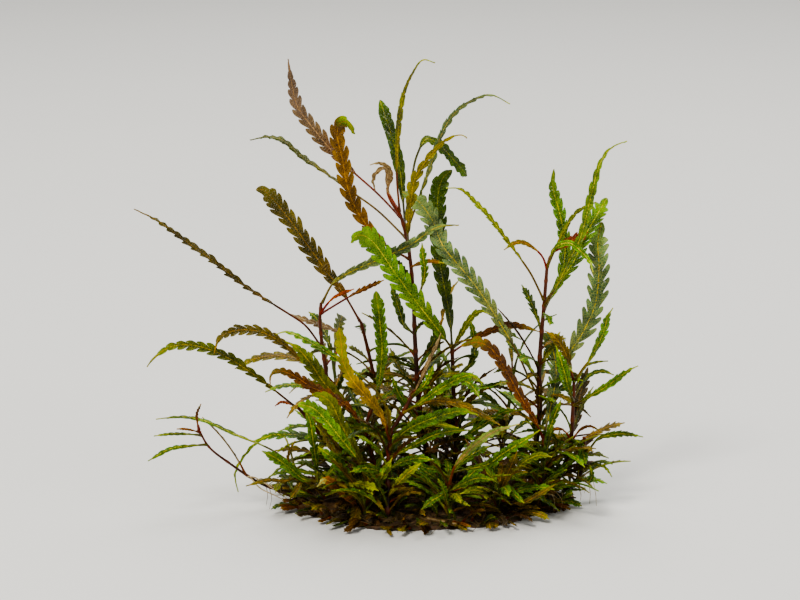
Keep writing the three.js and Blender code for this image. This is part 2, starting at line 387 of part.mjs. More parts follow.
// Leaves that arch away from their stem by rule, one with it: stem, place up the stem, bearing,
// pitch, droop, length, width. Bearing 0 is to the right, 90 to the back.
const ARCHED = { bare: 0.12, lobes: 0, cut: 0.42, face: 0 };
const ARCHED_LEAVES = [
  ["stem_centre", 0.1, 280, 30, 50, 36, 6],
  ["stem_centre", 0.08, 195, 35, 60, 36, 6],
  ["stem_centre", 0.12, 335, 40, 60, 42, 6],
  ["stem_centre", 0.2, 65, 45, 70, 45, 7],
  ["stem_centre", 0.27, 150, 45, 75, 44, 7],
  ["stem_centre", 0.35, 340, 50, 80, 38, 6],
  ["stem_left_red", 0.1, 75, 35, 60, 40, 6],
  ["stem_left_red", 0.14, 183, 35, 60, 34, 6],
  ["stem_left_red", 0.25, 60, 40, 60, 36, 6],
  ["stem_left_red", 0.4, 105, 50, 80, 44, 7],
  ["stem_left_red", 0.5, 195, 45, 70, 36, 5],
  ["stem_behind_centre", 0.2, 95, 35, 60, 44, 7],
  ["stem_behind_centre", 0.28, 350, 35, 60, 38, 6],
  ["stem_behind_centre", 0.5, 40, 50, 80, 42, 6],
  ["stem_behind_centre", 0.7, 290, 40, 70, 38, 6],
  ["stem_mid_left", 0.2, 20, 30, 50, 30, 6],
  ["stem_mid_left", 0.35, 205, 35, 60, 32, 5],
  ["stem_back_left", 0.2, 208, 35, 60, 44, 7],
  ["stem_back_left", 0.3, 100, 40, 70, 46, 7],
  ["stem_back_left", 0.45, 60, 45, 80, 46, 7],
  ["stem_back_left", 0.65, 150, 50, 85, 44, 7],
  ["stem_right_tall", 0.12, 60, 35, 60, 46, 7],
  ["stem_right_tall", 0.18, 200, 30, 50, 34, 6],
  ["stem_right_tall", 0.3, 168, 40, 70, 34, 6],
  ["stem_right_tall", 0.45, 140, 50, 80, 32, 6],
  ["stem_right_outer", 0.2, 300, 30, 50, 34, 6],
  ["stem_right_inner", 0.3, 318, 35, 60, 32, 6],
  ["stem_right_inner", 0.5, 195, 55, 70, 34, 6],
  ["stem_left_inner", 0.2, 150, 30, 50, 44, 6],
  ["stem_left_inner", 0.5, 110, 45, 70, 40, 6],
];

// The shoots behind the clump: each leaf has its place up the stem, bearing, pitch, droop, length, width.
const BACK_SHOOT_STEPS = 5;
const BACK_SHOOTS = [
  {
    name: "shoot_back_left", foot: [-36, 26], radii: [1.2, 0.8], top: [-44, 40, 62],
    leaves: [
      [0.2, 165, 35, 60, 52, 8],
      [0.3, 70, 40, 75, 50, 8],
      [0.5, 120, 45, 85, 62, 9],
      [0.65, 55, 50, 70, 38, 7],
      [0.8, 180, 55, 90, 58, 8],
      [0.92, 85, 65, 95, 60, 8],
      [1, 120, 75, 70, 36, 6],
    ],
  },
  {
    name: "shoot_back_centre", foot: [8, 36], radii: [1.2, 0.8], top: [10, 48, 72],
    leaves: [
      [0.2, 40, 35, 60, 50, 8],
      [0.3, 140, 40, 75, 52, 8],
      [0.5, 85, 45, 85, 60, 9],
      [0.65, 175, 50, 70, 46, 8],
      [0.8, 30, 55, 90, 56, 8],
      [0.92, 115, 65, 95, 62, 8],
      [1, 70, 75, 70, 42, 6],
    ],
  },
  {
    name: "shoot_back_right", foot: [40, 24], radii: [1.2, 0.8], top: [48, 36, 60],
    leaves: [
      [0.2, 10, 35, 60, 46, 8],
      [0.3, 110, 40, 75, 52, 8],
      [0.5, 60, 45, 85, 58, 9],
      [0.65, 150, 50, 70, 44, 8],
      [0.8, 8, 50, 90, 42, 8],
      [0.92, 95, 65, 95, 60, 8],
      [1, 40, 75, 70, 40, 6],
    ],
  },
];

const tilt = THREE.MathUtils.degToRad(VIEW.tilt);
const ACROSS = new THREE.Vector3(1, 0, 0);
const FORWARD = new THREE.Vector3(0, Math.cos(tilt), -Math.sin(tilt));
const UPWARD = new THREE.Vector3(0, Math.sin(tilt), Math.cos(tilt));
const TO_VIEWER = FORWARD.clone().negate();
const SKYWARD = new THREE.Vector3(0, 0, 1);
const EYE = new THREE.Vector3()
  .addScaledVector(ACROSS, VIEW.across)
  .addScaledVector(UPWARD, VIEW.rise)
  .addScaledVector(FORWARD, -VIEW.distance);

// The point that is seen at across and rise, and lies depth behind the origin's upright plane.
function seenPoint([across, rise, depth]) {
  const onPlane = new THREE.Vector3().addScaledVector(ACROSS, across).addScaledVector(UPWARD, rise);
  const ray = onPlane.sub(EYE);
  return ray.multiplyScalar((depth - EYE.y) / ray.y).add(EYE);
}

function curveThrough(points) {
  return new THREE.CatmullRomCurve3(points, false, "centripetal");
}

// A closed mesh over rings of points that all have the same number of points.
function skin(rings) {
  const size = rings[0].length;
  const index = [];
  for (let r = 0; r + 1 < rings.length; r += 1) {
    for (let k = 0; k < size; k += 1) {
      const a = r * size + k;
      const b = r * size + ((k + 1) % size);
      index.push(a, b, b + size, a, b + size, a + size);
    }
  }
  const last = (rings.length - 1) * size;
  for (let k = 1; k + 1 < size; k += 1) {
    index.push(0, k + 1, k);
    index.push(last, last + k, last + k + 1);
  }
  const geometry = new THREE.BufferGeometry();
  const places = rings.flat().flatMap((point) => point.toArray());
  geometry.setAttribute("position", new THREE.Float32BufferAttribute(places, 3));
  geometry.setIndex(index);
  return geometry;
}

function solidOf(geometry) {
  const vertProperties = new Float32Array(geometry.getAttribute("position").array);
  const triVerts = new Uint32Array(geometry.getIndex().array);
  return new wasm.Manifold(new wasm.Mesh({ numProp: 3, vertProperties, triVerts }));
}

function geometryOf(solid) {
  const mesh = solid.getMesh();
  const geometry = new THREE.BufferGeometry();
  const places = new Float32Array(mesh.vertProperties);
  geometry.setAttribute("position", new THREE.BufferAttribute(places, 3));
  geometry.setIndex(new THREE.BufferAttribute(new Uint32Array(mesh.triVerts), 1));
  return mergeVertices(geometry, 1e-4);
}

function fused(geometries) {
  return geometryOf(geometries.map(solidOf).reduce((whole, piece) => whole.add(piece)));
}

// The mat: a low mound of rhizomes and roots, cut flat underneath.
function matEdge(angle) {
  const wobble = MAT.edgeWaves.reduce(
    (sum, [count, share, phase]) => sum + share * Math.sin(count * angle + phase),
    1,
  );
  return new THREE.Vector2(
    MAT.middleX + MAT.halfX * wobble * Math.cos(angle),
    MAT.halfY * wobble * Math.sin(angle),
  );
}

function matHeight(share, angle) {
  const { count, height, phase } = MAT.lumps;
  const lumps = height * Math.sin(count * angle + phase) * Math.sin(Math.PI * share);
  return MAT.rim + (MAT.height - MAT.rim) * (1 - share * share) + lumps;
}

function matMound() {
  const ring = (share, height) =>
    Array.from({ length: MAT.spokes }, (_, k) => {
      const angle = (2 * Math.PI * k) / MAT.spokes;
      const edge = matEdge(angle);
      return new THREE.Vector3(
        MAT.middleX + (edge.x - MAT.middleX) * share,
        edge.y * share,
        height(share, angle),
      );
    });
  const cut = ring(MAT.foot, () => 0);
  return skin([cut, ...MAT.rings.map((share) => ring(share, matHeight))]);
}

// The rhizomes creep over the mound, half sunk in it, from one angle of its rim to another.
function rhizome([from, to, bend]) {
  const { radius, sunk, reach, steps, sides } = RHIZOME;
  const a = matEdge(THREE.MathUtils.degToRad(from)).multiplyScalar(reach);
  const b = matEdge(THREE.MathUtils.degToRad(to)).multiplyScalar(reach);
  const aside = new THREE.Vector2(-b.y, b.x).normalize();
  const points = Array.from({ length: steps + 1 }, (_, s) => {
    const t = s / steps;
    const place = a.clone().lerp(b, t).addScaledVector(aside, bend * Math.sin(Math.PI * t));
    const share = Math.hypot((place.x - MAT.middleX) / MAT.halfX, place.y / MAT.halfY);
    const angle = Math.atan2(place.y / MAT.halfY, (place.x - MAT.middleX) / MAT.halfX);
    return new THREE.Vector3(place.x, place.y, matHeight(Math.min(share, 1), angle) + sunk);
  });
  return tube(curveThrough(points), [radius, radius], steps, sides);
}

function matGeometry() {
  return fused([matMound(), ...RHIZOME.runs.map(rhizome)]);
}

// A tapering tube.
function tube(curve, [footRadius, topRadius], steps, sides = STEM_SIDES) {
  const frames = framesAlong(curve, 0, TO_VIEWER);
  const rings = [];
  for (let s = 0; s <= steps; s += 1) {
    const u = s / steps;
    const { point, normal, side } = frameAt(frames, u);
    const radius = footRadius + (topRadius - footRadius) * u;
    rings.push(
      Array.from({ length: sides }, (_, k) => {
        const angle = (2 * Math.PI * k) / sides;
        return point
          .clone()
          .addScaledVector(side, radius * Math.cos(angle))
          .addScaledVector(normal, -radius * Math.sin(angle));
      }),
    );
  }
  return skin(rings);
}

// Frames along a curve that don't spin: at its middle the normal faces the way given,
// turned about the curve by the given angle.
function framesAlong(curve, faceDegrees, facing) {
  const points = curve.getSpacedPoints(FRAME_STEPS);
  const frames = points.map((point, i) => {
    const before = points[Math.max(i - 1, 0)];
    const after = points[Math.min(i + 1, FRAME_STEPS)];
    return { point, along: after.clone().sub(before).normalize() };
  });
  const middle = FRAME_STEPS / 2;
  const start = frames[middle];
  start.normal = squareTo(facing, start.along);
  start.normal.applyAxisAngle(start.along, THREE.MathUtils.degToRad(faceDegrees));
  for (let i = middle + 1; i <= FRAME_STEPS; i += 1) {
    frames[i].normal = squareTo(frames[i - 1].normal, frames[i].along);
  }
  for (let i = middle - 1; i >= 0; i -= 1) {
    frames[i].normal = squareTo(frames[i + 1].normal, frames[i].along);
  }
  frames.forEach((frame) => {
    frame.side = frame.along.clone().cross(frame.normal);
  });
  return frames;
}

// The part of a direction that is square to the axis.
function squareTo(direction, axis) {
  return direction.clone().addScaledVector(axis, -direction.dot(axis)).normalize();
}

function frameAt(frames, u) {
  const place = Math.min(Math.max(u, 0), 1) * FRAME_STEPS;
  const i = Math.min(Math.floor(place), FRAME_STEPS - 1);
  const t = place - i;
  const blend = (key) => frames[i][key].clone().lerp(frames[i + 1][key], t);
  return {
    point: blend("point"),
    along: blend("along").normalize(),
    normal: blend("normal").normalize(),
    side: blend("side").normalize(),
  };
}

// Half the width of a blade over its lobes, at a share of the blade's length.
function halfWidth(width, share, ending) {
  const base = Math.min(1, BLADE.start + BLADE.widen * share);
  const tip = Math.min(1, ((1 - share) / ending.share) ** ending.power);
  return Math.max((width / 2) * base * tip, PETIOLE_RADIUS);
}

// The stations of a leaf: each has its share of the whole length, its half width, and how
// far its two edge points lie forward of its midrib point.
function stationsOf({ width, bare, lobes, cut, ending }, length) {
  const place = (share) => bare + (1 - bare) * share;
  const station = (u, half, forward = 0) => ({ u, half, forward });
  if (lobes === 0) {
    const blade = PLAIN_BLADE.map(([share, half]) => station(place(share), width * half));
    return [station(0, PETIOLE_RADIUS), ...blade, station(1, TIP_HALF)];
  }
  const pitch = (LOBES.to - LOBES.from) / lobes;
  const spacing = pitch * (1 - bare) * length;
  const stations = [station(0, PETIOLE_RADIUS)];
  if (bare > LONG_PETIOLE) {
    stations.push(station(bare / 2, PETIOLE_RADIUS));
  }
  for (let lobe = 0; lobe < lobes; lobe += 1) {
    const sinus = LOBES.from + pitch * lobe;
    const crown = sinus + pitch / 2;
    const narrow = Math.max(halfWidth(width, sinus, ending) * (1 - cut), PETIOLE_RADIUS);
    const wide = halfWidth(width, crown, ending);
    stations.push(station(place(sinus), narrow));
    stations.push(station(place(crown), wide, Math.min(spacing * LOBES.reach, wide * LOBES.most)));
  }
  const neck = halfWidth(width, LOBES.to, ending) * (1 - cut / 2);
  stations.push(station(place(LOBES.to), neck));
  if (lobes > SHORT_LEAF_LOBES) {
    stations.push(station(place(LOBES.last), Math.max(neck * LOBES.narrow, TIP_HALF)));
  }
  stations.push(station(1, TIP_HALF));
  return stations;
}

function leafGeometry(leaf, points, facing) {
  const curve = curveThrough(points);
  const frames = framesAlong(curve, leaf.face, facing);
  const rings = stationsOf(leaf, curve.getLength()).map(({ u, half, forward }) => {
    const { point, along, normal, side } = frameAt(frames, u);
    const edge = (sign) =>
      point
        .clone()
        .addScaledVector(side, sign * half)
        .addScaledVector(along, forward)
        .addScaledVector(normal, FOLD * half);
    return [edge(-1), edge(1), point.clone().addScaledVector(normal, u < 1 ? -KEEL : -KEEL / 2)];
  });
  return skin(rings);
}

// Where a leaf leaves its stem: the nearest point of the stem's middle line, how thick the
// stem is there and which way it runs.
function nearestOn({ line, radii }, point) {
  let best = 0;
  for (let s = 0; s <= STEM_POINTS; s += 1) {
    best = line[s].distanceTo(point) < line[best].distanceTo(point) ? s : best;
  }
  const before = line[Math.max(best - 1, 0)];
  const after = line[Math.min(best + 1, STEM_POINTS)];
  const [foot, top] = radii;
  return {
    point: line[best],
    radius: foot + ((top - foot) * best) / STEM_POINTS,
    along: after.clone().sub(before).normalize(),
  };
}

// A leaf of its own starts beside its stem, with the gap between them.
function besideStem(stem, points) {
  const node = nearestOn(stem, points[0]);
  const away = squareTo(points[1].clone().sub(node.point), node.along);
  const start = node.point.clone().addScaledVector(away, node.radius + GAP + PETIOLE_RADIUS);
  return [start, ...points.slice(1)];
}

// A short leaf that is one with its stem starts inside it.
function insideStem(stem, points) {
  return [nearestOn(stem, points[0]).point.clone(), ...points.slice(1)];
}

// A leaf that arches away from its stem by rule: bearing and pitch are in degrees, and droop
// is how far its direction has turned down at the tip.
function archedPoints(start, bearing, pitch, droop, length) {
  const turn = THREE.MathUtils.degToRad(bearing);
  const points = [start.clone()];
  for (let s = 0; s < ARCH_STEPS; s += 1) {
    const rise = THREE.MathUtils.degToRad(pitch - (droop * (s + 0.5)) / ARCH_STEPS);
    const step = new THREE.Vector3(
      Math.cos(rise) * Math.cos(turn),
      Math.cos(rise) * Math.sin(turn),
      Math.sin(rise),
    );
    points.push(points[s].clone().addScaledVector(step, length / ARCH_STEPS));
  }
  return points;
}

function named(name, geometry, tint, roughness) {
  const material = new THREE.MeshStandardMaterial({ color: tint, roughness, metalness: 0 });
  const mesh = new THREE.Mesh(geometry, material);
  mesh.name = name;
  return mesh;
}

const plant = new THREE.Group();
const mat = named("rhizome_mat", matGeometry(), TINTS.mat, 0.9);
plant.add(mat);

// The height of the mat's top under a stem's foot: the highest of the foot's middle and rim.
function matTop(x, y, radius) {
  const rim = Array.from({ length: FOOT_RAYS }, (_, k) => {
    const angle = (2 * Math.PI * k) / FOOT_RAYS;
    return [x + radius * Math.cos(angle), y + radius * Math.sin(angle)];
  });
  const heights = [[x, y], ...rim].map(([px, py]) => {
    const from = new THREE.Vector3(px, py, 2 * MAT.height);
    const ray = new THREE.Raycaster(from, SKYWARD.clone().negate());
    return ray.intersectObject(mat)[0].point.z;
  });
  return Math.max(...heights);
}

function stemFrom({ foot, radii, path }) {
  const [x, y] = foot;
  const low = new THREE.Vector3(x, y, matTop(x, y, radii[0]) + GAP);
  const curve = curveThrough([low, low.clone().addScaledVector(SKYWARD, STEM_START), ...path]);
  return { curve, radii, line: curve.getSpacedPoints(STEM_POINTS) };
}

const stems = {};
Object.entries(STEMS).forEach(([name, { foot, radii, path }]) => {
  stems[name] = stemFrom({ foot, radii, path: path.map(seenPoint) });
});

function archedLeaf(stem, [share, bearing, pitch, droop, length, width]) {
  const points = archedPoints(stem.curve.getPointAt(share), bearing, pitch, droop, length);
  return leafGeometry({ ...ARCHED, width }, points, SKYWARD);
}

// Each stem with the short leaves that grow out of it, as one piece.
Object.entries(stems).forEach(([name, stem]) => {
  const steps = Math.round(STEM_STEPS + stem.curve.getLength() / STEM_STEP_LENGTH);
  const pieces = [tube(stem.curve, stem.radii, steps)];
  const shortLeaves = SHORT_LEAVES.filter(([on]) => on === name);
  shortLeaves.forEach(([, width, bare, cut, face, path]) => {
    const lobes = width > SMALL_LEAF ? SHORT_LEAF_LOBES : 0;
    const leaf = { width, bare, lobes, cut, face, ending: POINTED };
    pieces.push(leafGeometry(leaf, insideStem(stem, path.map(seenPoint)), TO_VIEWER));
  });
  const archedLeaves = ARCHED_LEAVES.filter(([on]) => on === name);
  archedLeaves.forEach(([, ...leaf]) => pieces.push(archedLeaf(stem, leaf)));
  plant.add(named(name, fused(pieces), name.startsWith("stem") ? TINTS.stem : TINTS.green, 0.5));
});

LEAVES.forEach(([name, on, width, bare, lobes, cut, face, tint, path]) => {
  const points = besideStem(stems[on], path.map(seenPoint));
  const ending = ROUND_TIPS.includes(name) ? ROUNDED : POINTED;
  const geometry = leafGeometry({ width, bare, lobes, cut, face, ending }, points, TO_VIEWER);
  plant.add(named(name, geometry, TINTS[tint], 0.5));
});

// The shoots behind the clump, each with pairs of arched leaves.
BACK_SHOOTS.forEach(({ name, foot, radii, top, leaves }) => {
  const end = new THREE.Vector3(...top);
  const [x, y] = foot;
  const knee = new THREE.Vector3(x, y, MAT.height).lerp(end, 0.5);
  const stem = stemFrom({ foot, radii, path: [knee, end] });
  const pieces = [tube(stem.curve, radii, BACK_SHOOT_STEPS)];
  leaves.forEach((leaf) => pieces.push(archedLeaf(stem, leaf)));
  plant.add(named(name, fused(pieces), TINTS.green, 0.5));
});

export default plant;
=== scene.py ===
"""A submerged clump of hygrophila pinnatifida: rhizomes, upright stems and lobed leaves."""
import math
import random

import bpy
import numpy as np
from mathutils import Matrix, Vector, noise


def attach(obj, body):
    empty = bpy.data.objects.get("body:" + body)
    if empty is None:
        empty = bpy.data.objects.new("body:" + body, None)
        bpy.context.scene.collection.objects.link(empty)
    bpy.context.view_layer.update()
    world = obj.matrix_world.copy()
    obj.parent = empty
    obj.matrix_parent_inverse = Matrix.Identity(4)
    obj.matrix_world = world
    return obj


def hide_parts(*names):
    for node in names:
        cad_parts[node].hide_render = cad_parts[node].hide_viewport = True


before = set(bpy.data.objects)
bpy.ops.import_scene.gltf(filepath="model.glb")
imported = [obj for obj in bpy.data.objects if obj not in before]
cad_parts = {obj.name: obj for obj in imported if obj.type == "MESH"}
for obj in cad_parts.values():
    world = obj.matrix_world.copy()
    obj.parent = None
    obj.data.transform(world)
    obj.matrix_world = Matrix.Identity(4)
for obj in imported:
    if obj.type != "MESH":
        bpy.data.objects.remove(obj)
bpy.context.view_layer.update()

bl_info = {
    "name": "Pinnatifida clump",
    "version": (1, 0, 0),
    "blender": (4, 5, 0),
    "location": "View3D > Sidebar > Clump",
    "description": "Grows a clump of lobed water leaves around its solid model",
    "category": "Add Mesh",
}

# Routes are in millimetres, as in the solid model; meshes are in metres.
MM = 0.001

# The viewpoint that the routes are written from, which is also the camera's: its distance,
# how far it looks down, and the point that it looks at, across and up from the origin.
VIEW_DISTANCE = 1500
VIEW_TILT = math.radians(12)
VIEW_ACROSS = -10
VIEW_RISE = 101
CAMERA_LENS = 135

# The rhizome mat: half lengths of its oval, its middle, its height, the height of its rim and
# the share of its radius that its cut has. An edge wave has its count around the mat, its share
# of the radius and its phase.
MAT_HALF = (68.5, 51)
MAT_MIDDLE = 2
MAT_HEIGHT = 7.5
MAT_RIM = 1.5
MAT_FOOT = 0.985
EDGE_WAVES = ((3, 0.035, 0.6), (7, 0.025, 2.1))
LUMPS = {"count": 5, "height": 0.7, "phase": 1.3}
# Rhizomes that creep over the mat: angles on its rim in degrees, and the bend to one side. The
# first ones are thick. They start and end at a share of the way to the rim.
RHIZOMES = (
    (200, 350, 8), (165, 20, -9), (140, 320, 10), (215, 60, -12), (250, 100, 9), (120, 5, 14),
    (185, 285, -6), (300, 75, -10),
)
RHIZOME_RADIUS = 1.6
THICK_RHIZOMES = 2
THIN_RHIZOME = 0.72
RHIZOME_REACH = 0.97

# Where a blade's lobes start and end, as shares of its length.
LOBES_FROM = 0.02
LOBES_TO = 0.9
# How wide a blade is at its foot, as a share of its width, and how fast it widens from there.
BLADE_START = 0.35
BLADE_WIDEN = 2.4
# How a blade narrows to its tip: over what share of its length, and by what power.
POINTED = (0.42, 0.8)
ROUNDED = (0.17, 0.5)
SHORT_TIP = (0.34, 0.66)
BROAD = (0.1, 0.5)
# The least half width of a blade, in the slits between its lobes and at its tip.
TIP_HALF = 0.3
# How many lobes grow here for one in a leaf's row, how many a short leaf has at least, and how
# wide short and long leaves are for the width in their rows.
LOBE_SPLIT = 1.35
LEAST_LOBES = 6
SHORT_WIDTH = 0.84
LONG_WIDTH = 0.96
# The long leaves that stay broad to a rounded tip.
ROUND_TIPS = (
    "leaf_dark_top", "leaf_dark_upright", "leaf_hanging_dark", "leaf_olive_left", "leaf_bright_broad",
    "leaf_sage_long", "leaf_sage_right", "leaf_sage_inner_right", "leaf_fern_right",
    "leaf_green_mid", "leaf_bright_low_left", "leaf_olive_low_left", "leaf_rust_right",
)
# The long leaves whose tip is their own: over what share it narrows, and how fast.
OWN_ENDINGS = {
    "leaf_ochre_tall": BROAD, "leaf_amber_front": BROAD, "leaf_mauve_tall": (0.45, 0.8),
    "leaf_yellow_gappy": (0.6, 0.8), "leaf_slender_top": (0.66, 0.9),
    "leaf_fern_left": (0.3, 0.6),
}
# A petiole's radius.
PETIOLE_RADIUS = 0.55
# How far out from a stem's middle line a long leaf starts, as a share of the stem's radius.
LEAF_START = 0.7
# How far a stem's line starts above the mat, and how far it goes straight up from there.
STEM_FOOT_RISE = 0.3
STEM_START = 4
# Steps along a leaf's frames, along a stem's line and along the route of an arched leaf.
FRAME_STEPS = 96
STEM_POINTS = 200
ARCH_STEPS = 5

# Stems and runners: the radii at the foot and at the top, where each rises from the mat, as x
# and y, and its path on from there in points as the viewpoint sees them: across and up from the
# origin, and how far they lie behind the origin's upright plane.
STEMS = {
    "stem_centre": ([1.4, 0.8], [4, 2], [[3.5, 23.5, 4], [0, 43.5, 2], [-2.5, 81, 3], [-3.5, 106, 2],
      [-6, 128.5, 0], [-9.5, 142.5, -1], [-11.5, 147, -1]]),
    "stem_left_red": ([1.3, 0.75], [-34, -8], [[-38, 22, -6], [-41, 36, -4], [-45.5, 56, -2],
      [-47.5, 68, -1], [-50, 90, -1], [-49.5, 99.5, -2]]),
    "stem_right_tall": ([1.5, 0.8], [57, 1], [[57.5, 23.5, 2], [59.5, 42, 1], [60, 52, 1], [59.5, 64, 0],
      [60.5, 81, 0], [62, 98, 0], [63.5, 117.5, -2]]),
    "stem_right_outer": ([1.3, 0.8], [63, -8], [[67.5, 10.5, -8], [71, 16, -7], [75, 28, -6],
      [76.5, 48.5, -5], [77, 61, -5]]),
    "stem_front": ([1.3, 0.9], [-16, -44], [[-16, 8, -39], [-15.5, 23.5, -35], [-14.5, 34.5, -34],
      [-12, 39, -34], [-8, 45.5, -33], [-3, 55.5, -32]]),
    "stem_behind_centre": ([1.3, 0.9], [17, 9], [[18, 31, 7], [17, 51, 6], [16, 77.5, 3]]),
    "stem_back_left": ([1.2, 0.8], [-14, 28], [[-17.5, 36, 27], [-21, 53.5, 25], [-26, 76, 22],
      [-29.5, 90, 18]]),
    "stem_left_inner": ([1.2, 0.8], [-36, 4], [[-41, 22, 7], [-50, 33.5, 6], [-58.5, 44.5, 4],
      [-62, 48, 2]]),
    "stem_mid_left": ([1.2, 0.8], [-20, -18], [[-22.5, 18.5, -17], [-27, 37, -16], [-24, 47, -14],
      [-21.5, 52.5, -12]]),
    "stem_right_inner": ([1.2, 0.8], [58, -19], [[62.5, 18.5, -16], [61.5, 33, -13]]),
    "stem_right_low": ([1.1, 0.7], [67, 0], [[75, 7.5, -4], [81, 16, -8], [82.5, 24, -10],
      [82, 32.5, -12]]),
    "runner_left": ([0.8, 0.5], [-62, -8], [[-72.5, 6.5, -9], [-79, 9, -11], [-86, 13, -13],
      [-94, 18.5, -15], [-105.5, 27.5, -19], [-111, 37, -22]]),
    "shoot_front_left": ([1.1, 0.7], [-27, -35], [[-27, 1, -32], [-26.5, 6, -31]]),
    "shoot_front_right": ([1.1, 0.7], [14, -40], [[14.5, 7, -38], [15, 16, -36]]),
    "shoot_low_left": ([1.1, 0.7], [-30, -29], [[-41, 6.5, -30], [-49, 9.5, -29], [-59, 12.5, -27],
      [-64.5, 19.5, -26]]),
    "shoot_low_right": ([1.1, 0.7], [38, -29], [[39, 1, -31], [41, 7, -32], [44, 12, -32]]),
}

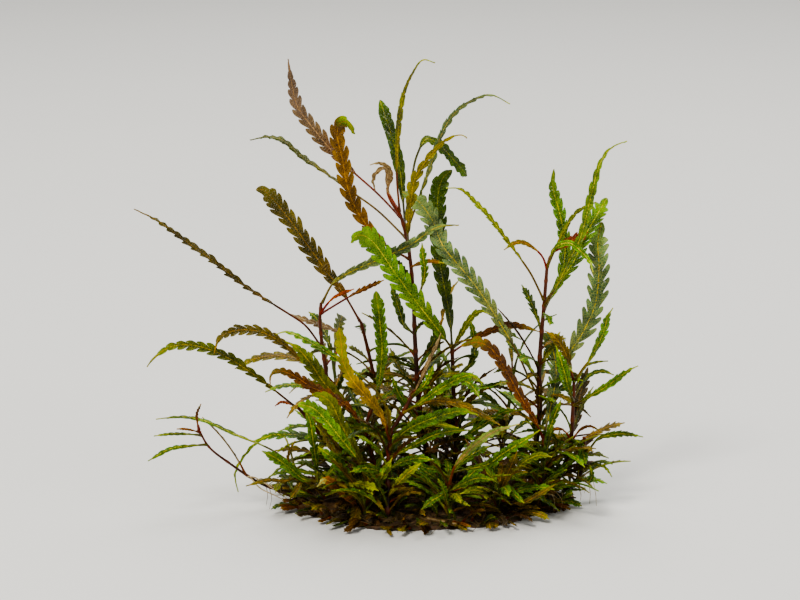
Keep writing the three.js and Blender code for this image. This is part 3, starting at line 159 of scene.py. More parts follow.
# The leaves that are pieces of their own: name, stem, width over the lobes, share of bare
# petiole, lobes a side, how deep they are cut, the turn of the blade's face away from the
# viewpoint, finish, and the route of the midrib as above.
LEAVES = [
    ["leaf_mauve_tall", "stem_centre", 8.5, 0.3, 8, 0.45, 20, "mauve", [[-10, 142.5, 0], [-21, 154, 6],
      [-35, 166.5, 12], [-44.5, 176, 15], [-54, 187.5, 18], [-61.5, 198, 19], [-64.5, 211, 18],
      [-66, 221.5, 14]]],
    ["leaf_ochre_tall", "stem_centre", 9, 0.14, 8, 0.5, 10, "ochre", [[-7.5, 120, -3], [-16.5, 128, -7],
      [-23.5, 134.5, -11], [-32.5, 147.5, -16], [-36.5, 158.5, -20], [-39, 172, -24], [-41.5, 183.5, -28],
      [-40.5, 189, -29.5], [-37, 190.5, -31], [-32.5, 184, -32.5]]],
    ["leaf_thin_high_left", "stem_centre", 6.5, 0.45, 7, 0.4, 60, "moss", [[-7.5, 133, 3],
      [-21.5, 146, 12], [-32.5, 154, 18], [-49.5, 166, 26], [-58.5, 172, 29], [-68.5, 180.5, 32],
      [-76, 182.5, 33], [-85, 181, 33]]],
    ["leaf_slender_top", "stem_centre", 4, 0.24, 6, 0.3, 35, "olive_lime", [[-10.5, 145, -3],
      [-11.5, 161, -6], [-11.5, 173.5, -8], [-10.5, 191, -10], [-8, 205, -12], [-4, 214, -15],
      [1.5, 221, -19], [7.5, 219.5, -22]]],
    ["leaf_dark_top", "stem_centre", 6.5, 0.25, 7, 0.12, -15, "dark", [[-8, 137, 8], [-8.5, 151, 14],
      [-10, 166, 18], [-13.5, 181, 22], [-17, 192, 26], [-20, 201, 30]]],
    ["leaf_yellow_gappy", "stem_centre", 6, 0.1, 7, 0.62, 10, "yellow", [[-6.5, 127, -6],
      [-6, 138, -11], [-4.5, 151.5, -16], [-2.5, 162, -20], [4.5, 172.5, -24], [13, 181, -28],
      [20.5, 183.5, -32], [23.5, 182, -34]]],
    ["leaf_arched_top_right", "stem_centre", 5.6, 0.15, 9, 0.5, 50, "sage", [[-5, 136, 4], [0, 153.5, 10],
      [4, 164.5, 12], [10, 182.5, 12], [15, 192, 10], [23.5, 199.5, 7], [35, 203.5, 2], [45, 199, -3]]],
    ["leaf_hanging_dark", "stem_centre", 8.5, 0.56, 5, 0.06, -10, "dark", [[-8, 140, 6], [-5, 156, 18],
      [-1.5, 173.5, 24], [3.5, 181.5, 28], [10.5, 177.5, 31], [18, 169.5, 34], [23.5, 163, 36]]],
    ["leaf_bright_broad", "stem_behind_centre", 12, 0.07, 9, 0.48, 5, "bright", [[15.5, 76.5, -2],
      [9.5, 85.5, -8], [-4.5, 103.5, -18], [-13.5, 116, -25], [-21, 127, -31], [-24.5, 131, -34],
      [-29, 133.5, -37], [-33, 132.5, -40], [-34.5, 129.5, -42]]],
    ["leaf_dark_upright", "stem_behind_centre", 9.5, 0.08, 9, 0.3, -10, "dark", [[17, 78.5, 6],
      [15, 92, 9], [13, 103.5, 11], [10, 120, 12], [9, 138.5, 13], [9, 153.5, 13], [11.5, 162, 11],
      [16, 166, 9]]],
    ["leaf_sage_long", "stem_right_tall", 10.5, 0.26, 10, 0.5, 5, "sage", [[59, 51.5, -2], [55, 60.5, -4],
      [49.5, 73, -6], [43.5, 83.5, -7], [30, 105, -7], [20.5, 117, -6], [11.5, 128, -4], [6, 141, 0],
      [-1, 150.5, 3], [-9, 155, 4]]],
    ["leaf_sage_left", "stem_left_red", 6.5, 0.12, 8, 0.4, 25, "sage", [[-49.5, 101.5, 0], [-43, 110, -3],
      [-34, 115.5, -6], [-22.5, 120.5, -10], [-14.5, 124, -14], [-3.5, 129.5, -18], [8.5, 137.5, -21],
      [19.5, 138.5, -22]]],
    ["leaf_olive_left", "stem_back_left", 10, 0.14, 8, 0.42, 10, "olive_deep", [[-29.5, 90, 18],
      [-39, 105.5, 20], [-43.5, 111, 21], [-52, 122.5, 23], [-57, 129.5, 24], [-67.5, 144, 28],
      [-78.5, 156, 30], [-82, 156, 30]]],
    ["leaf_long_left", "stem_left_red", 6, 0.28, 10, 0.5, 55, "olive_deep", [[-49, 77.5, -2],
      [-57.5, 88.5, -6], [-65.5, 94, -9], [-73.5, 99, -12], [-88.5, 108.5, -17], [-103.5, 120.5, -22],
      [-117, 130, -26], [-132, 141, -30], [-143, 146.5, -32]]],
    ["leaf_slender_right", "stem_right_tall", 4.3, 0.3, 8, 0.6, 40, "lime", [[61.5, 100.5, -3],
      [55.5, 114, -8], [51.5, 120, -10], [44, 130, -14], [35, 142, -18], [27.5, 150, -22],
      [20, 156.5, -26], [13, 157, -28]]],
    ["leaf_far_right_tall", "stem_right_tall", 5, 0.1, 8, 0.3, 25, "lime_deep", [[63, 97.5, -4],
      [69, 109.5, -10], [75, 122, -14], [80, 132, -17], [86, 155.5, -22], [90, 169.5, -25],
      [95.5, 177, -29], [103.5, 180.5, -32]]],
    ["leaf_fern_right", "stem_right_tall", 9, 0.08, 8, 0.5, -5, "green", [[63, 101, 2], [67.5, 106.5, 4],
      [72, 113, 6], [77, 120.5, 8], [81.5, 131, 10], [87, 141, 13], [93.5, 152, 17]]],
    ["leaf_fern_left", "stem_right_tall", 7, 0.1, 8, 0.4, -15, "green", [[62.5, 96.5, 5],
      [66.5, 104.5, 12], [70, 111, 15], [72.5, 123.5, 19], [72, 133.5, 22], [69.5, 146, 25],
      [66.5, 157.5, 27], [67, 166.5, 28]]],
    ["leaf_sage_right", "stem_right_outer", 11.5, 0.14, 9, 0.6, 0, "sage", [[76.5, 50.5, 2],
      [73.5, 62, 8], [74, 72.5, 10], [81.5, 85, 12], [87.5, 98.5, 13], [89.5, 116, 14], [89, 131, 16],
      [91, 140, 18]]],
    ["leaf_bright_right", "stem_right_outer", 5.5, 0.3, 5, 0.35, 30, "bright", [[77.5, 60, -6],
      [82, 67.5, -12], [84.5, 70.5, -14], [87, 75, -16], [91.5, 84.5, -20], [94, 93, -23],
      [96.5, 97, -25]]],
    ["leaf_bright_far_right", "stem_right_outer", 4.5, 0.15, 5, 0.3, 30, "bright", [[76.5, 48, -7],
      [85, 53, -14], [94, 58.5, -20], [104.5, 66, -26], [109, 68, -29]]],
    ["leaf_orange_right", "stem_right_outer", 5.5, 0.2, 5, 0.4, 10, "rust_olive", [[76.5, 61.5, -8],
      [73.5, 72.5, -15], [70.5, 78.5, -19], [66, 83.5, -23], [62.5, 85.5, -25]]],
    ["leaf_green_right", "stem_right_outer", 6, 0.15, 6, 0.4, 0, "green", [[76, 50, -9],
      [74.5, 56.5, -18], [72, 65.5, -23], [70, 72, -26], [68, 78, -28]]],
    ["leaf_sage_inner_right", "stem_right_inner", 9, 0.12, 8, 0.5, 10, "sage", [[62, 33, -10],
      [66, 51, -2], [68, 63, 2], [67.5, 71, 4], [65.5, 78.5, 5], [61.5, 84.5, 5]]],
    ["leaf_rust_right", "stem_right_inner", 6.5, 0.08, 7, 0.42, 10, "rust", [[61.5, 32.5, -14],
      [57, 41.5, -18], [50.5, 52, -22], [44.5, 63, -26], [39, 72.5, -30], [34.5, 77.5, -33],
      [28, 80, -37], [20.5, 78, -41]]],
    ["leaf_brown_centre", "stem_behind_centre", 5, 0.12, 6, 0.35, 30, "rust", [[16.5, 76, 6],
      [25, 80.5, 12], [36, 86, 16], [44, 88.5, 19], [52, 87.5, 22], [60, 85, 25]]],
    ["leaf_green_mid", "stem_mid_left", 7, 0.06, 8, 0.3, 0, "green", [[-21, 52.5, -10], [-20, 63.5, -11],
      [-19, 76, -12], [-19.5, 83.5, -13], [-20.5, 93.5, -15], [-22, 105.5, -18]]],
    ["leaf_rust_left", "stem_left_red", 7, 0.18, 8, 0.55, 35, "rust_deep", [[-46.5, 61, -3],
      [-59, 70.5, -8], [-67.5, 78, -11], [-77, 84, -14], [-86, 86, -17], [-95, 85, -21],
      [-100.5, 81.5, -24], [-103, 74, -27]]],
    ["leaf_lime_high_left", "stem_front", 6, 0.42, 6, 0.4, 55, "bright", [[-14.5, 34, -32],
      [-16, 45, -37], [-24, 58, -42], [-35.5, 67, -46], [-47, 75, -50], [-57.5, 81, -52], [-67, 85, -54],
      [-72, 84, -56]]],
    ["leaf_olive_mid_left", "stem_mid_left", 8, 0.15, 7, 0.35, 10, "olive_green", [[-27, 36, -15],
      [-39, 50.5, -20], [-48, 59.5, -23], [-54.5, 69, -26], [-61.5, 77, -28], [-67.5, 80.5, -30]]],
    ["leaf_rust_mid_left", "stem_mid_left", 7, 0.14, 8, 0.5, 30, "rust", [[-26.5, 33, -18],
      [-35, 46.5, -27], [-44, 52.5, -30], [-54.5, 57.5, -34], [-64, 63.5, -38], [-71, 65.5, -42],
      [-74.5, 63.5, -44], [-75, 58.5, -46]]],
    ["leaf_amber_front", "stem_front", 7.5, 0.1, 8, 0.5, 15, "amber", [[-15.5, 31, -37], [-20, 44.5, -44],
      [-27, 53, -49], [-34, 61, -54], [-38.5, 70, -59], [-39.5, 78.5, -63], [-40.5, 87, -66]]],
    ["leaf_long_low_left", "stem_left_inner", 7, 0.14, 9, 0.55, 35, "olive_green", [[-61.5, 47.5, 1],
      [-73.5, 56.5, -6], [-83, 63.5, -11], [-93.5, 70.5, -17], [-103.5, 75.5, -22], [-115.5, 78.5, -28],
      [-126, 77, -34], [-134, 71, -38], [-136.5, 67.5, -40]]],
    ["leaf_bright_low_left", "shoot_front_left", 7, 0.32, 7, 0.35, 10, "bright", [[-26.5, 6, -32],
      [-27.5, 12, -36], [-32, 22, -42], [-39, 31, -47], [-45.5, 39, -51], [-53.5, 47, -55],
      [-61, 49, -59]]],
    ["leaf_olive_low_left", "stem_mid_left", 6.5, 0.1, 8, 0.35, 10, "yellow_green", [[-23, 15, -19],
      [-29, 20, -27], [-34.5, 29.5, -33], [-40, 40, -37], [-44.5, 49.5, -40], [-49, 53, -43],
      [-54, 54, -46]]],
    ["leaf_hooked_front", "stem_front", 5, 0.12, 6, 0.2, 20, "bright", [[-8, 44.5, -34], [-1, 49, -39],
      [10.5, 57, -46], [22, 63, -53], [26.5, 63.5, -57], [30, 61, -60], [31, 58, -61]]],
    ["leaf_green_front", "stem_front", 7, 0.05, 7, 0.4, 0, "green", [[-15, 26, -37], [-9, 34, -43],
      [-2, 38.5, -50], [13, 44, -62], [21, 45.5, -68], [29, 43.5, -74]]],
    ["leaf_pale_front", "shoot_front_right", 5, 0.22, 7, 0.4, 25, "pale_pink", [[15, 9, -38],
      [17.5, 18, -46],
      [22, 23.5, -51], [29, 30, -59], [37.5, 35.5, -66], [49.5, 39, -73]]],
    ["leaf_green_front_right", "shoot_front_right", 5.5, 0.12, 7, 0.4, 10, "green", [[15, 14.5, -35],
      [23.5, 16.5, -38], [34, 19, -42], [41, 24, -46], [50, 29.5, -51], [60, 36, -56]]],
    ["leaf_bright_low_right", "stem_right_low", 4, 0.25, 5, 0.3, 30, "bright_deep", [[82.5, 23.5, -10],
      [89, 31.5, -16], [97.5, 34, -22], [104.5, 34, -27], [111.5, 32.5, -31]]],
]

# The short leaves that are one with their stem, by stem, with the same values from the width on.
SHORT_LEAVES = {
    "stem_centre": [
        [3, 0.35, 3, 0.3, 20, "tan", [[-10, 143, 0], [-14.5, 150, -4], [-16.5, 156, -6], [-14.5, 162, -9],
          [-16, 167.5, -12], [-21, 169.5, -15], [-25, 168.5, -17]]],
        [3, 0.2, 3, 0.3, -20, "tan", [[-11, 146.5, 0], [-16, 156, 6], [-17, 167, 8], [-21.5, 165, 10],
          [-23.5, 160.5, 12], [-22, 154.5, 13]]],
        [3, 0.1, 2, 0.3, 10, "ochre", [[-4.5, 117, 0], [-1, 119, -6], [4.5, 120.5, -9],
          [12, 119.5, -12]]],
        [5, 0.4, 3, 0.4, 0, "bright", [[-3.5, 101, 0], [0, 105, -10], [2.5, 116, -20], [1.5, 123.5, -24],
          [1, 129.5, -26]]],
        [5.5, 0.08, 4, 0.4, 0, "dark", [[-3, 83.5, 0], [-8, 88.5, 8], [-10, 95, 10], [-12, 101, 12],
          [-14.5, 108.5, 14]]],
        [5.5, 0.1, 4, 0.4, 0, "green", [[2, 31, 4], [8, 41, 14], [12, 51, 19], [14.5, 61, 22]]],
        [5, 0.1, 4, 0.4, 0, "green", [[0.5, 38.5, 3], [-6, 47, -5], [-11, 55, -9], [-14, 63, -12]]],
        [5.5, 0.1, 4, 0.4, 0, "dark", [[-2, 65, 3], [4, 75, 10], [7.5, 82, 13], [9.5, 91, 16]]],
        [5, 0.1, 4, 0.4, 0, "olive_green", [[-1, 55, 2], [-7.5, 63, 8], [-12, 70, 12], [-15, 77, 15]]],
    ],
    "stem_left_red": [
        [2.5, 0.3, 3, 0.3, 20, "red", [[-49, 94.5, 0], [-44, 101.5, -5], [-38.5, 104.5, -8],
          [-33, 106.5, -11]]],
        [3.5, 0.45, 4, 0.4, 20, "rust", [[-49, 94, 0], [-39, 100.5, 6], [-29.5, 106, 11],
          [-18, 111, 16]]],
        [4.5, 0.43, 4, 0.4, 20, "tan", [[-47, 68, 0], [-37.5, 82.5, 12], [-47, 87.5, 16], [-57.5, 91, 19],
          [-65, 94, 22]]],
    ],
    "stem_right_tall": [
        [3.2, 0.35, 4, 0.3, 10, "red_lime", [[63.5, 117.5, 0], [61, 123, -6], [56, 127.5, -10],
          [50.5, 130, -14], [46, 129, -17], [42, 126, -19]]],
        [6.2, 0.3, 4, 0.4, 10, "crimson", [[63.5, 117, 0], [65, 123, 2], [69, 127, 4], [76, 131, 6],
          [84, 135, 8]]],
        [2.8, 0.25, 4, 0.4, -10, "lime", [[63.5, 117.5, 0], [68.5, 128.5, -8], [72.5, 136.5, -12],
          [78.5, 145, -16], [88, 150, -20]]],
        [4, 0.2, 4, 0.3, 0, "bright", [[63.5, 118.5, -2], [68, 127.5, -14], [75, 129.5, -19],
          [81.5, 124.5, -24], [85, 120, -27], [86.5, 115, -29]]],
        [5, 0.15, 4, 0.4, 0, "green", [[60, 47, 1], [64, 51, 8], [69, 55.5, 12], [75, 59, 15]]],
    ],
    "stem_right_outer": [
        [1.8, 0.2, 2, 0.2, 20, "green", [[77.5, 56, 0], [83, 68, 6], [88.5, 70, 8], [94, 70.5, 10]]],
        [3, 0.2, 3, 0.3, 20, "green", [[76.5, 53, 0], [84, 63, 8], [91, 65.5, 12], [97, 63.5, 15]]],
        [8.4, 0.1, 5, 0.4, 0, "umber", [[75.5, 33, 0], [78, 42, 8], [79.5, 51, 14], [81.5, 59, 18],
          [84, 67.5, 21]]],
        [2.2, 0.2, 2, 0.2, 20, "rust", [[75, 32.5, 0], [71.5, 36, -7], [67.5, 36.5, -10],
          [62.5, 34, -13]]],
        [2.2, 0.2, 2, 0.2, 20, "rust", [[75, 31, 0], [80, 36, -8], [85, 38, -12], [90, 35.5, -15]]],
        [5, 0.15, 3, 0.3, 0, "bright", [[75, 30, 0], [78.5, 30.5, -12], [81.5, 25, -17], [83, 19, -19]]],
    ],
    "stem_front": [
        [2.8, 0.15, 4, 0.3, 20, "tan", [[-3.5, 54.5, 0], [0, 60.5, -30], [4, 70, -27], [7.5, 77, -24],
          [10.5, 84.5, -22]]],
        [4, 0.15, 4, 0.5, 0, "bright", [[-4, 53, -32], [2, 58.5, -40], [5, 64, -43], [7, 69, -45]]],
        [3.6, 0.3, 3, 0.3, 20, "red_lime", [[-15, 33, -34], [-20.5, 46.5, -30], [-26, 53.5, -27],
          [-34, 63.5, -24]]],
        [4.8, 0.1, 5, 0.35, 0, "yellow_brown", [[-9, 44, -33], [3, 50, -38], [15.5, 50, -42],
          [26, 46.5, -46], [40, 38.5, -50]]],
        [5, 0.08, 5, 0.35, 0, "green", [[-15, 22, -36], [-2, 29, -44], [7, 33.5, -50], [15.5, 35.5, -54],
          [25, 36, -58]]],
        [3, 0.2, 3, 0.3, 0, "lime", [[-14.5, 34.5, -34], [-4, 37, -30], [7, 39, -27], [19.5, 37, -24]]],
        [5, 0.08, 5, 0.35, 0, "yellow_green", [[-15.5, 2.5, -42], [-12, 8, -50], [-6.5, 14, -54],
          [0.5, 19.5, -58]]],
        [4.5, 0.1, 3, 0.35, 0, "green", [[-16, 12, -40], [-22, 16, -46], [-29, 17, -50], [-35, 15, -53]]],
        [5, 0.1, 4, 0.35, 0, "green", [[-15.5, 16, -38], [-9, 20, -46], [-1, 22, -52], [7, 21, -57]]],
    ],
    "stem_behind_centre": [
        [4.5, 0.1, 4, 0.35, 10, "lime", [[16.5, 76.5, 3], [21, 85, -4], [25, 91.5, -7], [30, 95.5, -10],
          [34.5, 94, -12]]],
        [5, 0.1, 4, 0.4, 0, "dark", [[17, 61, 5], [26, 70, 12], [27.5, 78.5, 15], [25, 92, 18]]],
        [4, 0.12, 4, 0.35, 10, "green", [[18, 29, 7], [26, 35, -4], [36, 41.5, -9], [43.5, 45.5, -13],
          [51, 46, -16]]],
        [4, 0.12, 4, 0.35, 0, "green", [[18, 27, 7], [25, 32, 0], [29, 40, -3], [32.5, 47, -5]]],
    ],
    "stem_right_low": [
        [2, 0.15, 3, 0.3, 10, "green", [[81.5, 16, -8], [88, 19, -14], [93, 17, -18], [96, 12.5, -21]]],
        [3.5, 0.1, 3, 0.3, 0, "green", [[80, 12, -7], [84, 10, -13], [86, 13.5, -17], [85, 18, -20]]],
    ],
    "stem_left_inner": [
        [2, 0.2, 3, 0.3, 10, "red", [[-61, 47, 2], [-65, 49, 6], [-69.5, 50, 9], [-72.5, 48, 11]]],
        [4.5, 0.1, 4, 0.35, 0, "green", [[-39, 17, 7], [-44, 21, 0], [-49, 23.5, -5], [-54, 25, -8]]],
    ],
    "stem_right_inner": [
        [4.5, 0.1, 4, 0.35, 0, "green", [[62, 28.5, -14], [65.5, 38.5, -18], [68, 45, -20],
          [70.5, 51, -22]]],
        [4, 0.1, 3, 0.35, 0, "green", [[63, 16, -17], [57, 20, -24], [51.5, 23, -28], [46, 23.5, -31]]],
    ],
    "runner_left": [
        [3, 0.12, 4, 0.35, 20, "green", [[-107.5, 28.5, -19], [-115.5, 28, -24], [-125, 26.5, -30],
          [-136, 20.5, -36]]],
        [2.2, 0.12, 3, 0.3, 20, "green", [[-110, 33, -21], [-117.5, 34, -17], [-125, 34, -13],
          [-133, 33, -9]]],
        [1.6, 0.15, 2, 0.2, 20, "rust", [[-110.5, 34, -22], [-114.5, 36, -26], [-118, 36.5, -29],
          [-121.5, 36.5, -32]]],
        [2, 0.15, 2, 0.2, 20, "rust", [[-110.5, 36, -22], [-111.5, 41, -24], [-111.5, 44.5, -26],
          [-109.5, 49, -28]]],
    ],
    "shoot_low_left": [
        [5.5, 0.1, 5, 0.4, 10, "green", [[-51, 10, -28], [-52, 20.5, -34], [-53.5, 30.5, -38],
          [-55.5, 42, -42], [-58.5, 47, -44]]],
        [7, 0.08, 5, 0.4, 0, "green", [[-34, 2.5, -30], [-36, 12, -38], [-42.5, 21, -43],
          [-51, 27.5, -47]]],
        [6, 0.1, 5, 0.35, 20, "fox", [[-32, -2, -30], [-35, 1.5, -38], [-41.5, 7.5, -44],
          [-47.5, 11, -48], [-51.5, 7.5, -50]]],
        [6.5, 0.1, 5, 0.35, 10, "bright", [[-52, 10.5, -28], [-58.5, 11.5, -33], [-65, 17, -36],
          [-73, 22.5, -39], [-79, 25.5, -41]]],
        [2.8, 0.2, 6, 0.35, 30, "green", [[-64.5, 19.5, -26], [-75, 26.5, -24], [-93, 34, -20],
          [-107.5, 40.5, -16], [-118.5, 42.5, -13], [-132, 41.5, -9]]],
        [2.4, 0.15, 6, 0.35, 30, "green", [[-62, 16, -27], [-68.5, 33, -18], [-79, 31.5, -14],
          [-87.5, 23.5, -11], [-92.5, 14, -9], [-91, 5, -8]]],
        [2.8, 0.15, 4, 0.3, 20, "rust_green", [[-60, 12, -27], [-68, 10.5, -36], [-76, 11, -40],
          [-87, 8, -44]]],
        [2.4, 0.15, 4, 0.3, 20, "olive", [[-62.5, 16, -26], [-66, 21, -31], [-65, 26, -34],
          [-62.5, 30.5, -36]]],
        [5, 0.1, 4, 0.35, 0, "green", [[-49, 9.5, -29], [-44, 16, -24], [-39, 22, -21], [-35, 28, -19]]],
        [4, 0.1, 3, 0.35, 0, "rust_green", [[-59, 12.5, -27], [-61.5, 6.5, -37], [-65, 1.5, -42]]],
    ],
    "shoot_low_right": [
        [6, 0.08, 5, 0.4, 0, "olive", [[39.5, 1, -31], [41.5, 9, -37], [45.5, 18, -41], [48.5, 25, -44]]],
        [4, 0.1, 4, 0.3, 20, "rust_green", [[40, 1, -31], [50.5, -0.5, -38], [59.5, 4, -42],
          [68, 9, -45]]],
        [3.5, 0.1, 4, 0.3, 20, "green", [[44, 11, -32], [50, 14, -28], [56, 15, -26], [61, 12.5, -24]]],
        [5, 0.1, 4, 0.35, 0, "green", [[41.5, 7, -32], [34, 14, -28], [28.5, 22, -25], [25, 28, -23]]],
        [4.5, 0.1, 4, 0.35, 0, "lime", [[44, 12, -32], [52, 20, -36], [60, 23.5, -39], [66, 22.5, -41]]],
        [4.5, 0.1, 4, 0.35, 0, "lime", [[40, 4, -32], [33, 5, -42], [26, 6, -48], [20, 4, -52]]],
        [4, 0.1, 3, 0.35, 0, "green", [[43, 10.5, -32], [47, 4, -42], [52, -0.5, -47]]],
    ],
    "shoot_front_left": [
        [5, 0.08, 4, 0.35, 0, "lime", [[-26.5, 3, -33], [-21.5, 9, -42], [-17, 16, -47], [-14, 22, -50]]],
        [4, 0.1, 4, 0.3, 10, "olive", [[-27, 2, -33], [-22, 1, -46], [-18, -4, -54]]],
    ],
    "shoot_front_right": [
        [4, 0.1, 3, 0.3, 0, "bright", [[15, 12, -37], [9, 16, -41], [3, 17, -44], [-4, 20.5, -46]]],
        [4, 0.1, 3, 0.3, 10, "green", [[14.5, 7, -39], [10, 3, -48], [5, 0, -53], [0.5, -4, -56]]],
        [5, 0.1, 4, 0.35, 0, "green", [[14.5, 5, -39], [21, 9, -46], [29, 12, -50], [37, 11, -53]]],
        [3, 0.1, 3, 0.3, 10, "lime", [[14.5, 4, -40], [19, 1, -50], [25, -2, -55]]],
        [5, 0.1, 4, 0.35, 0, "green", [[15, 13, -37], [21, 20, -33], [28, 25, -30], [35, 28, -28]]],
        [4.5, 0.1, 4, 0.35, 0, "dark", [[14.5, 8, -39], [8, 12, -36], [2, 16, -34], [-3, 22, -33]]],
    ],
}

# Leaves that arch away from their stem by rule and are one with it, by stem: place up the stem,
# bearing, pitch, droop, length, width. Bearing 0 is to the right, 90 to the back.
ARCHED_LEAVES = {
    "stem_centre": [
        [0.1, 280, 30, 50, 36, 6],
        [0.08, 195, 35, 60, 36, 6],
        [0.12, 335, 40, 60, 42, 6],
        [0.2, 65, 45, 70, 45, 7],
        [0.27, 150, 45, 75, 44, 7],
        [0.35, 340, 50, 80, 38, 6],
    ],
    "stem_left_red": [
        [0.1, 75, 35, 60, 40, 6],
        [0.14, 183, 35, 60, 34, 6],
        [0.25, 60, 40, 60, 36, 6],
        [0.4, 105, 50, 80, 44, 7],
        [0.5, 195, 45, 70, 36, 5],
    ],
    "stem_behind_centre": [
        [0.2, 95, 35, 60, 44, 7],
        [0.28, 350, 35, 60, 38, 6],
        [0.5, 40, 50, 80, 42, 6],
        [0.7, 290, 40, 70, 38, 6],
    ],
    "stem_mid_left": [
        [0.2, 20, 30, 50, 30, 6],
        [0.35, 205, 35, 60, 32, 5],
    ],
    "stem_back_left": [
        [0.2, 208, 35, 60, 44, 7],
        [0.3, 100, 40, 70, 46, 7],
        [0.45, 60, 45, 80, 46, 7],
        [0.65, 150, 50, 85, 44, 7],
    ],
    "stem_right_tall": [
        [0.12, 60, 35, 60, 46, 7],
        [0.18, 200, 30, 50, 34, 6],
        [0.3, 168, 40, 70, 34, 6],
        [0.45, 140, 50, 80, 32, 6],
    ],
    "stem_right_outer": [
        [0.2, 300, 30, 50, 34, 6],
    ],
    "stem_right_inner": [
        [0.3, 318, 35, 60, 32, 6],
        [0.5, 195, 55, 70, 34, 6],
    ],
    "stem_left_inner": [
        [0.2, 150, 30, 50, 44, 6],
        [0.5, 110, 45, 70, 40, 6],
    ],
}

# The shoots behind the clump: each leaf has its place up the stem, bearing, pitch, droop,
# length and width.
BACK_SHOOTS = {
    "shoot_back_left": {
        "foot": [-36, 26], "radii": [1.2, 0.8], "top": [-44, 40, 62],
        "leaves": [
            [0.2, 165, 35, 60, 52, 8],
            [0.3, 70, 40, 75, 50, 8],
            [0.5, 120, 45, 85, 62, 9],
            [0.65, 55, 50, 70, 38, 7],
            [0.8, 180, 55, 90, 58, 8],
            [0.92, 85, 65, 95, 60, 8],
            [1, 120, 75, 70, 36, 6],
        ],
    },
    "shoot_back_centre": {
        "foot": [8, 36], "radii": [1.2, 0.8], "top": [10, 48, 72],
        "leaves": [
            [0.2, 40, 35, 60, 50, 8],
            [0.3, 140, 40, 75, 52, 8],
            [0.5, 85, 45, 85, 60, 9],
            [0.65, 175, 50, 70, 46, 8],
            [0.8, 30, 55, 90, 56, 8],
            [0.92, 115, 65, 95, 62, 8],
            [1, 70, 75, 70, 42, 6],
        ],
    },
    "shoot_back_right": {
        "foot": [40, 24], "radii": [1.2, 0.8], "top": [48, 36, 60],
        "leaves": [
            [0.2, 10, 35, 60, 46, 8],
            [0.3, 110, 40, 75, 52, 8],
            [0.5, 60, 45, 85, 58, 9],
            [0.65, 150, 50, 70, 44, 8],
            [0.8, 8, 50, 90, 42, 8],
            [0.92, 95, 65, 95, 60, 8],
            [1, 40, 75, 70, 40, 6],
        ],
    },
}

# How the leaf finishes look: slot, colour beside the midrib, at the edge, of the midrib,
# of the tip and of the petiole.
LOOKS = {
    "bright": ("leaf_bright_green", "#306218", "#6c9e3c", "#d4c860", "#90b84a", "#7a682c"),
    "lime": ("leaf_lime", "#4c5e1c", "#7a8c38", "#c8be58", "#a2b250", "#725a24"),
    "green": ("leaf_green", "#21490f", "#568430", "#bcb44c", "#7a9e3a", "#5e5a22"),
    "dark": ("leaf_dark_green", "#1e380e", "#3e5e20", "#9c983e", "#4e7022", "#46461a"),
    "sage": ("leaf_grey_green", "#3f5c3c", "#728e5e", "#d0b856", "#86a25c", "#6c5c2c"),
    "olive": ("leaf_olive", "#423a0c", "#726826", "#bc8a3c", "#7e7a2c", "#6c3a1a"),
    "olive_green": ("leaf_olive", "#33430d", "#627226", "#b49a44", "#80983c", "#663c1c"),
    "yellow_green": ("leaf_lime", "#4c5c14", "#808e30", "#c4ac48", "#96a83e", "#705422"),
    "yellow": ("leaf_ochre", "#6c680e", "#9c962a", "#dcb44a", "#aca63c", "#846220"),
    "amber": ("leaf_ochre", "#745c10", "#a48c2e", "#dca84e", "#8e9e30", "#84421e"),
    "yellow_brown": ("leaf_olive", "#584a12", "#82742c", "#c49444", "#888434", "#704024"),
    "ochre": ("leaf_ochre", "#6c440a", "#9c762a", "#dca04a", "#98cc48", "#844618"),
    "rust": ("leaf_rust", "#4e260c", "#7a5222", "#bc7c40", "#7c8a3a", "#7e2e1a"),
    "rust_green": ("leaf_rust", "#4c3c12", "#72702c", "#b48c40", "#7c8c38", "#74381e"),
    "mauve": ("leaf_mauve", "#463620", "#6e5c38", "#c8a074", "#9a8272", "#7c3a22"),
    "maroon": ("leaf_rust", "#341e10", "#563e20", "#8c663a", "#624e28", "#622618"),
    "tan": ("leaf_mauve", "#6c5236", "#9c845c", "#c0a67a", "#a8946a", "#863a22"),
    "red": ("leaf_rust", "#7a2a18", "#9c4a2c", "#cc7c48", "#9c6438", "#8e2a1c"),
    "red_lime": ("leaf_lime", "#764828", "#8a923c", "#c49450", "#94b44a", "#8e2a1c"),
    "crimson": ("leaf_rust", "#5e2618", "#88462e", "#bc6a44", "#8a4a30", "#7a1c14"),
    "umber": ("leaf_rust", "#2e2810", "#5c4c22", "#8c6c3a", "#5e5a2a", "#5c2a18"),
    "fox": ("leaf_rust", "#6a3a10", "#a0662a", "#d09050", "#b8c878", "#7e3a1c"),
    "lime_deep": ("leaf_lime", "#3c5c1a", "#6e8e38", "#c8be58", "#9ab450", "#725a24"),
    "bright_deep": ("leaf_bright_green", "#22490f", "#4c7426", "#b8ac48", "#7a9a3a", "#5e5a22"),
    "rust_deep": ("leaf_rust", "#42400a", "#645e1a", "#a87e34", "#767026", "#6e341a"),
    "rust_olive": ("leaf_rust", "#584a0c", "#7e7026", "#c0903e", "#8a8230", "#7e3a1c"),
    "olive_lime": ("leaf_olive", "#464a18", "#767e36", "#b4a24a", "#94a840", "#6c3a1a"),
    "olive_deep": ("leaf_olive", "#30300a", "#544e18", "#94702e", "#625e20", "#5c3018"),
    "moss": ("leaf_lime", "#28340a", "#485418", "#8e7e2e", "#5e7026", "#665020"),
    "pale_pink": ("leaf_lime", "#8a9450", "#92b65c", "#dca474", "#b6cc6c", "#a0583a"),
    "dead": ("rhizome_brown", "#281e10", "#44361c", "#604e32", "#50422a", "#2c2012"),
}
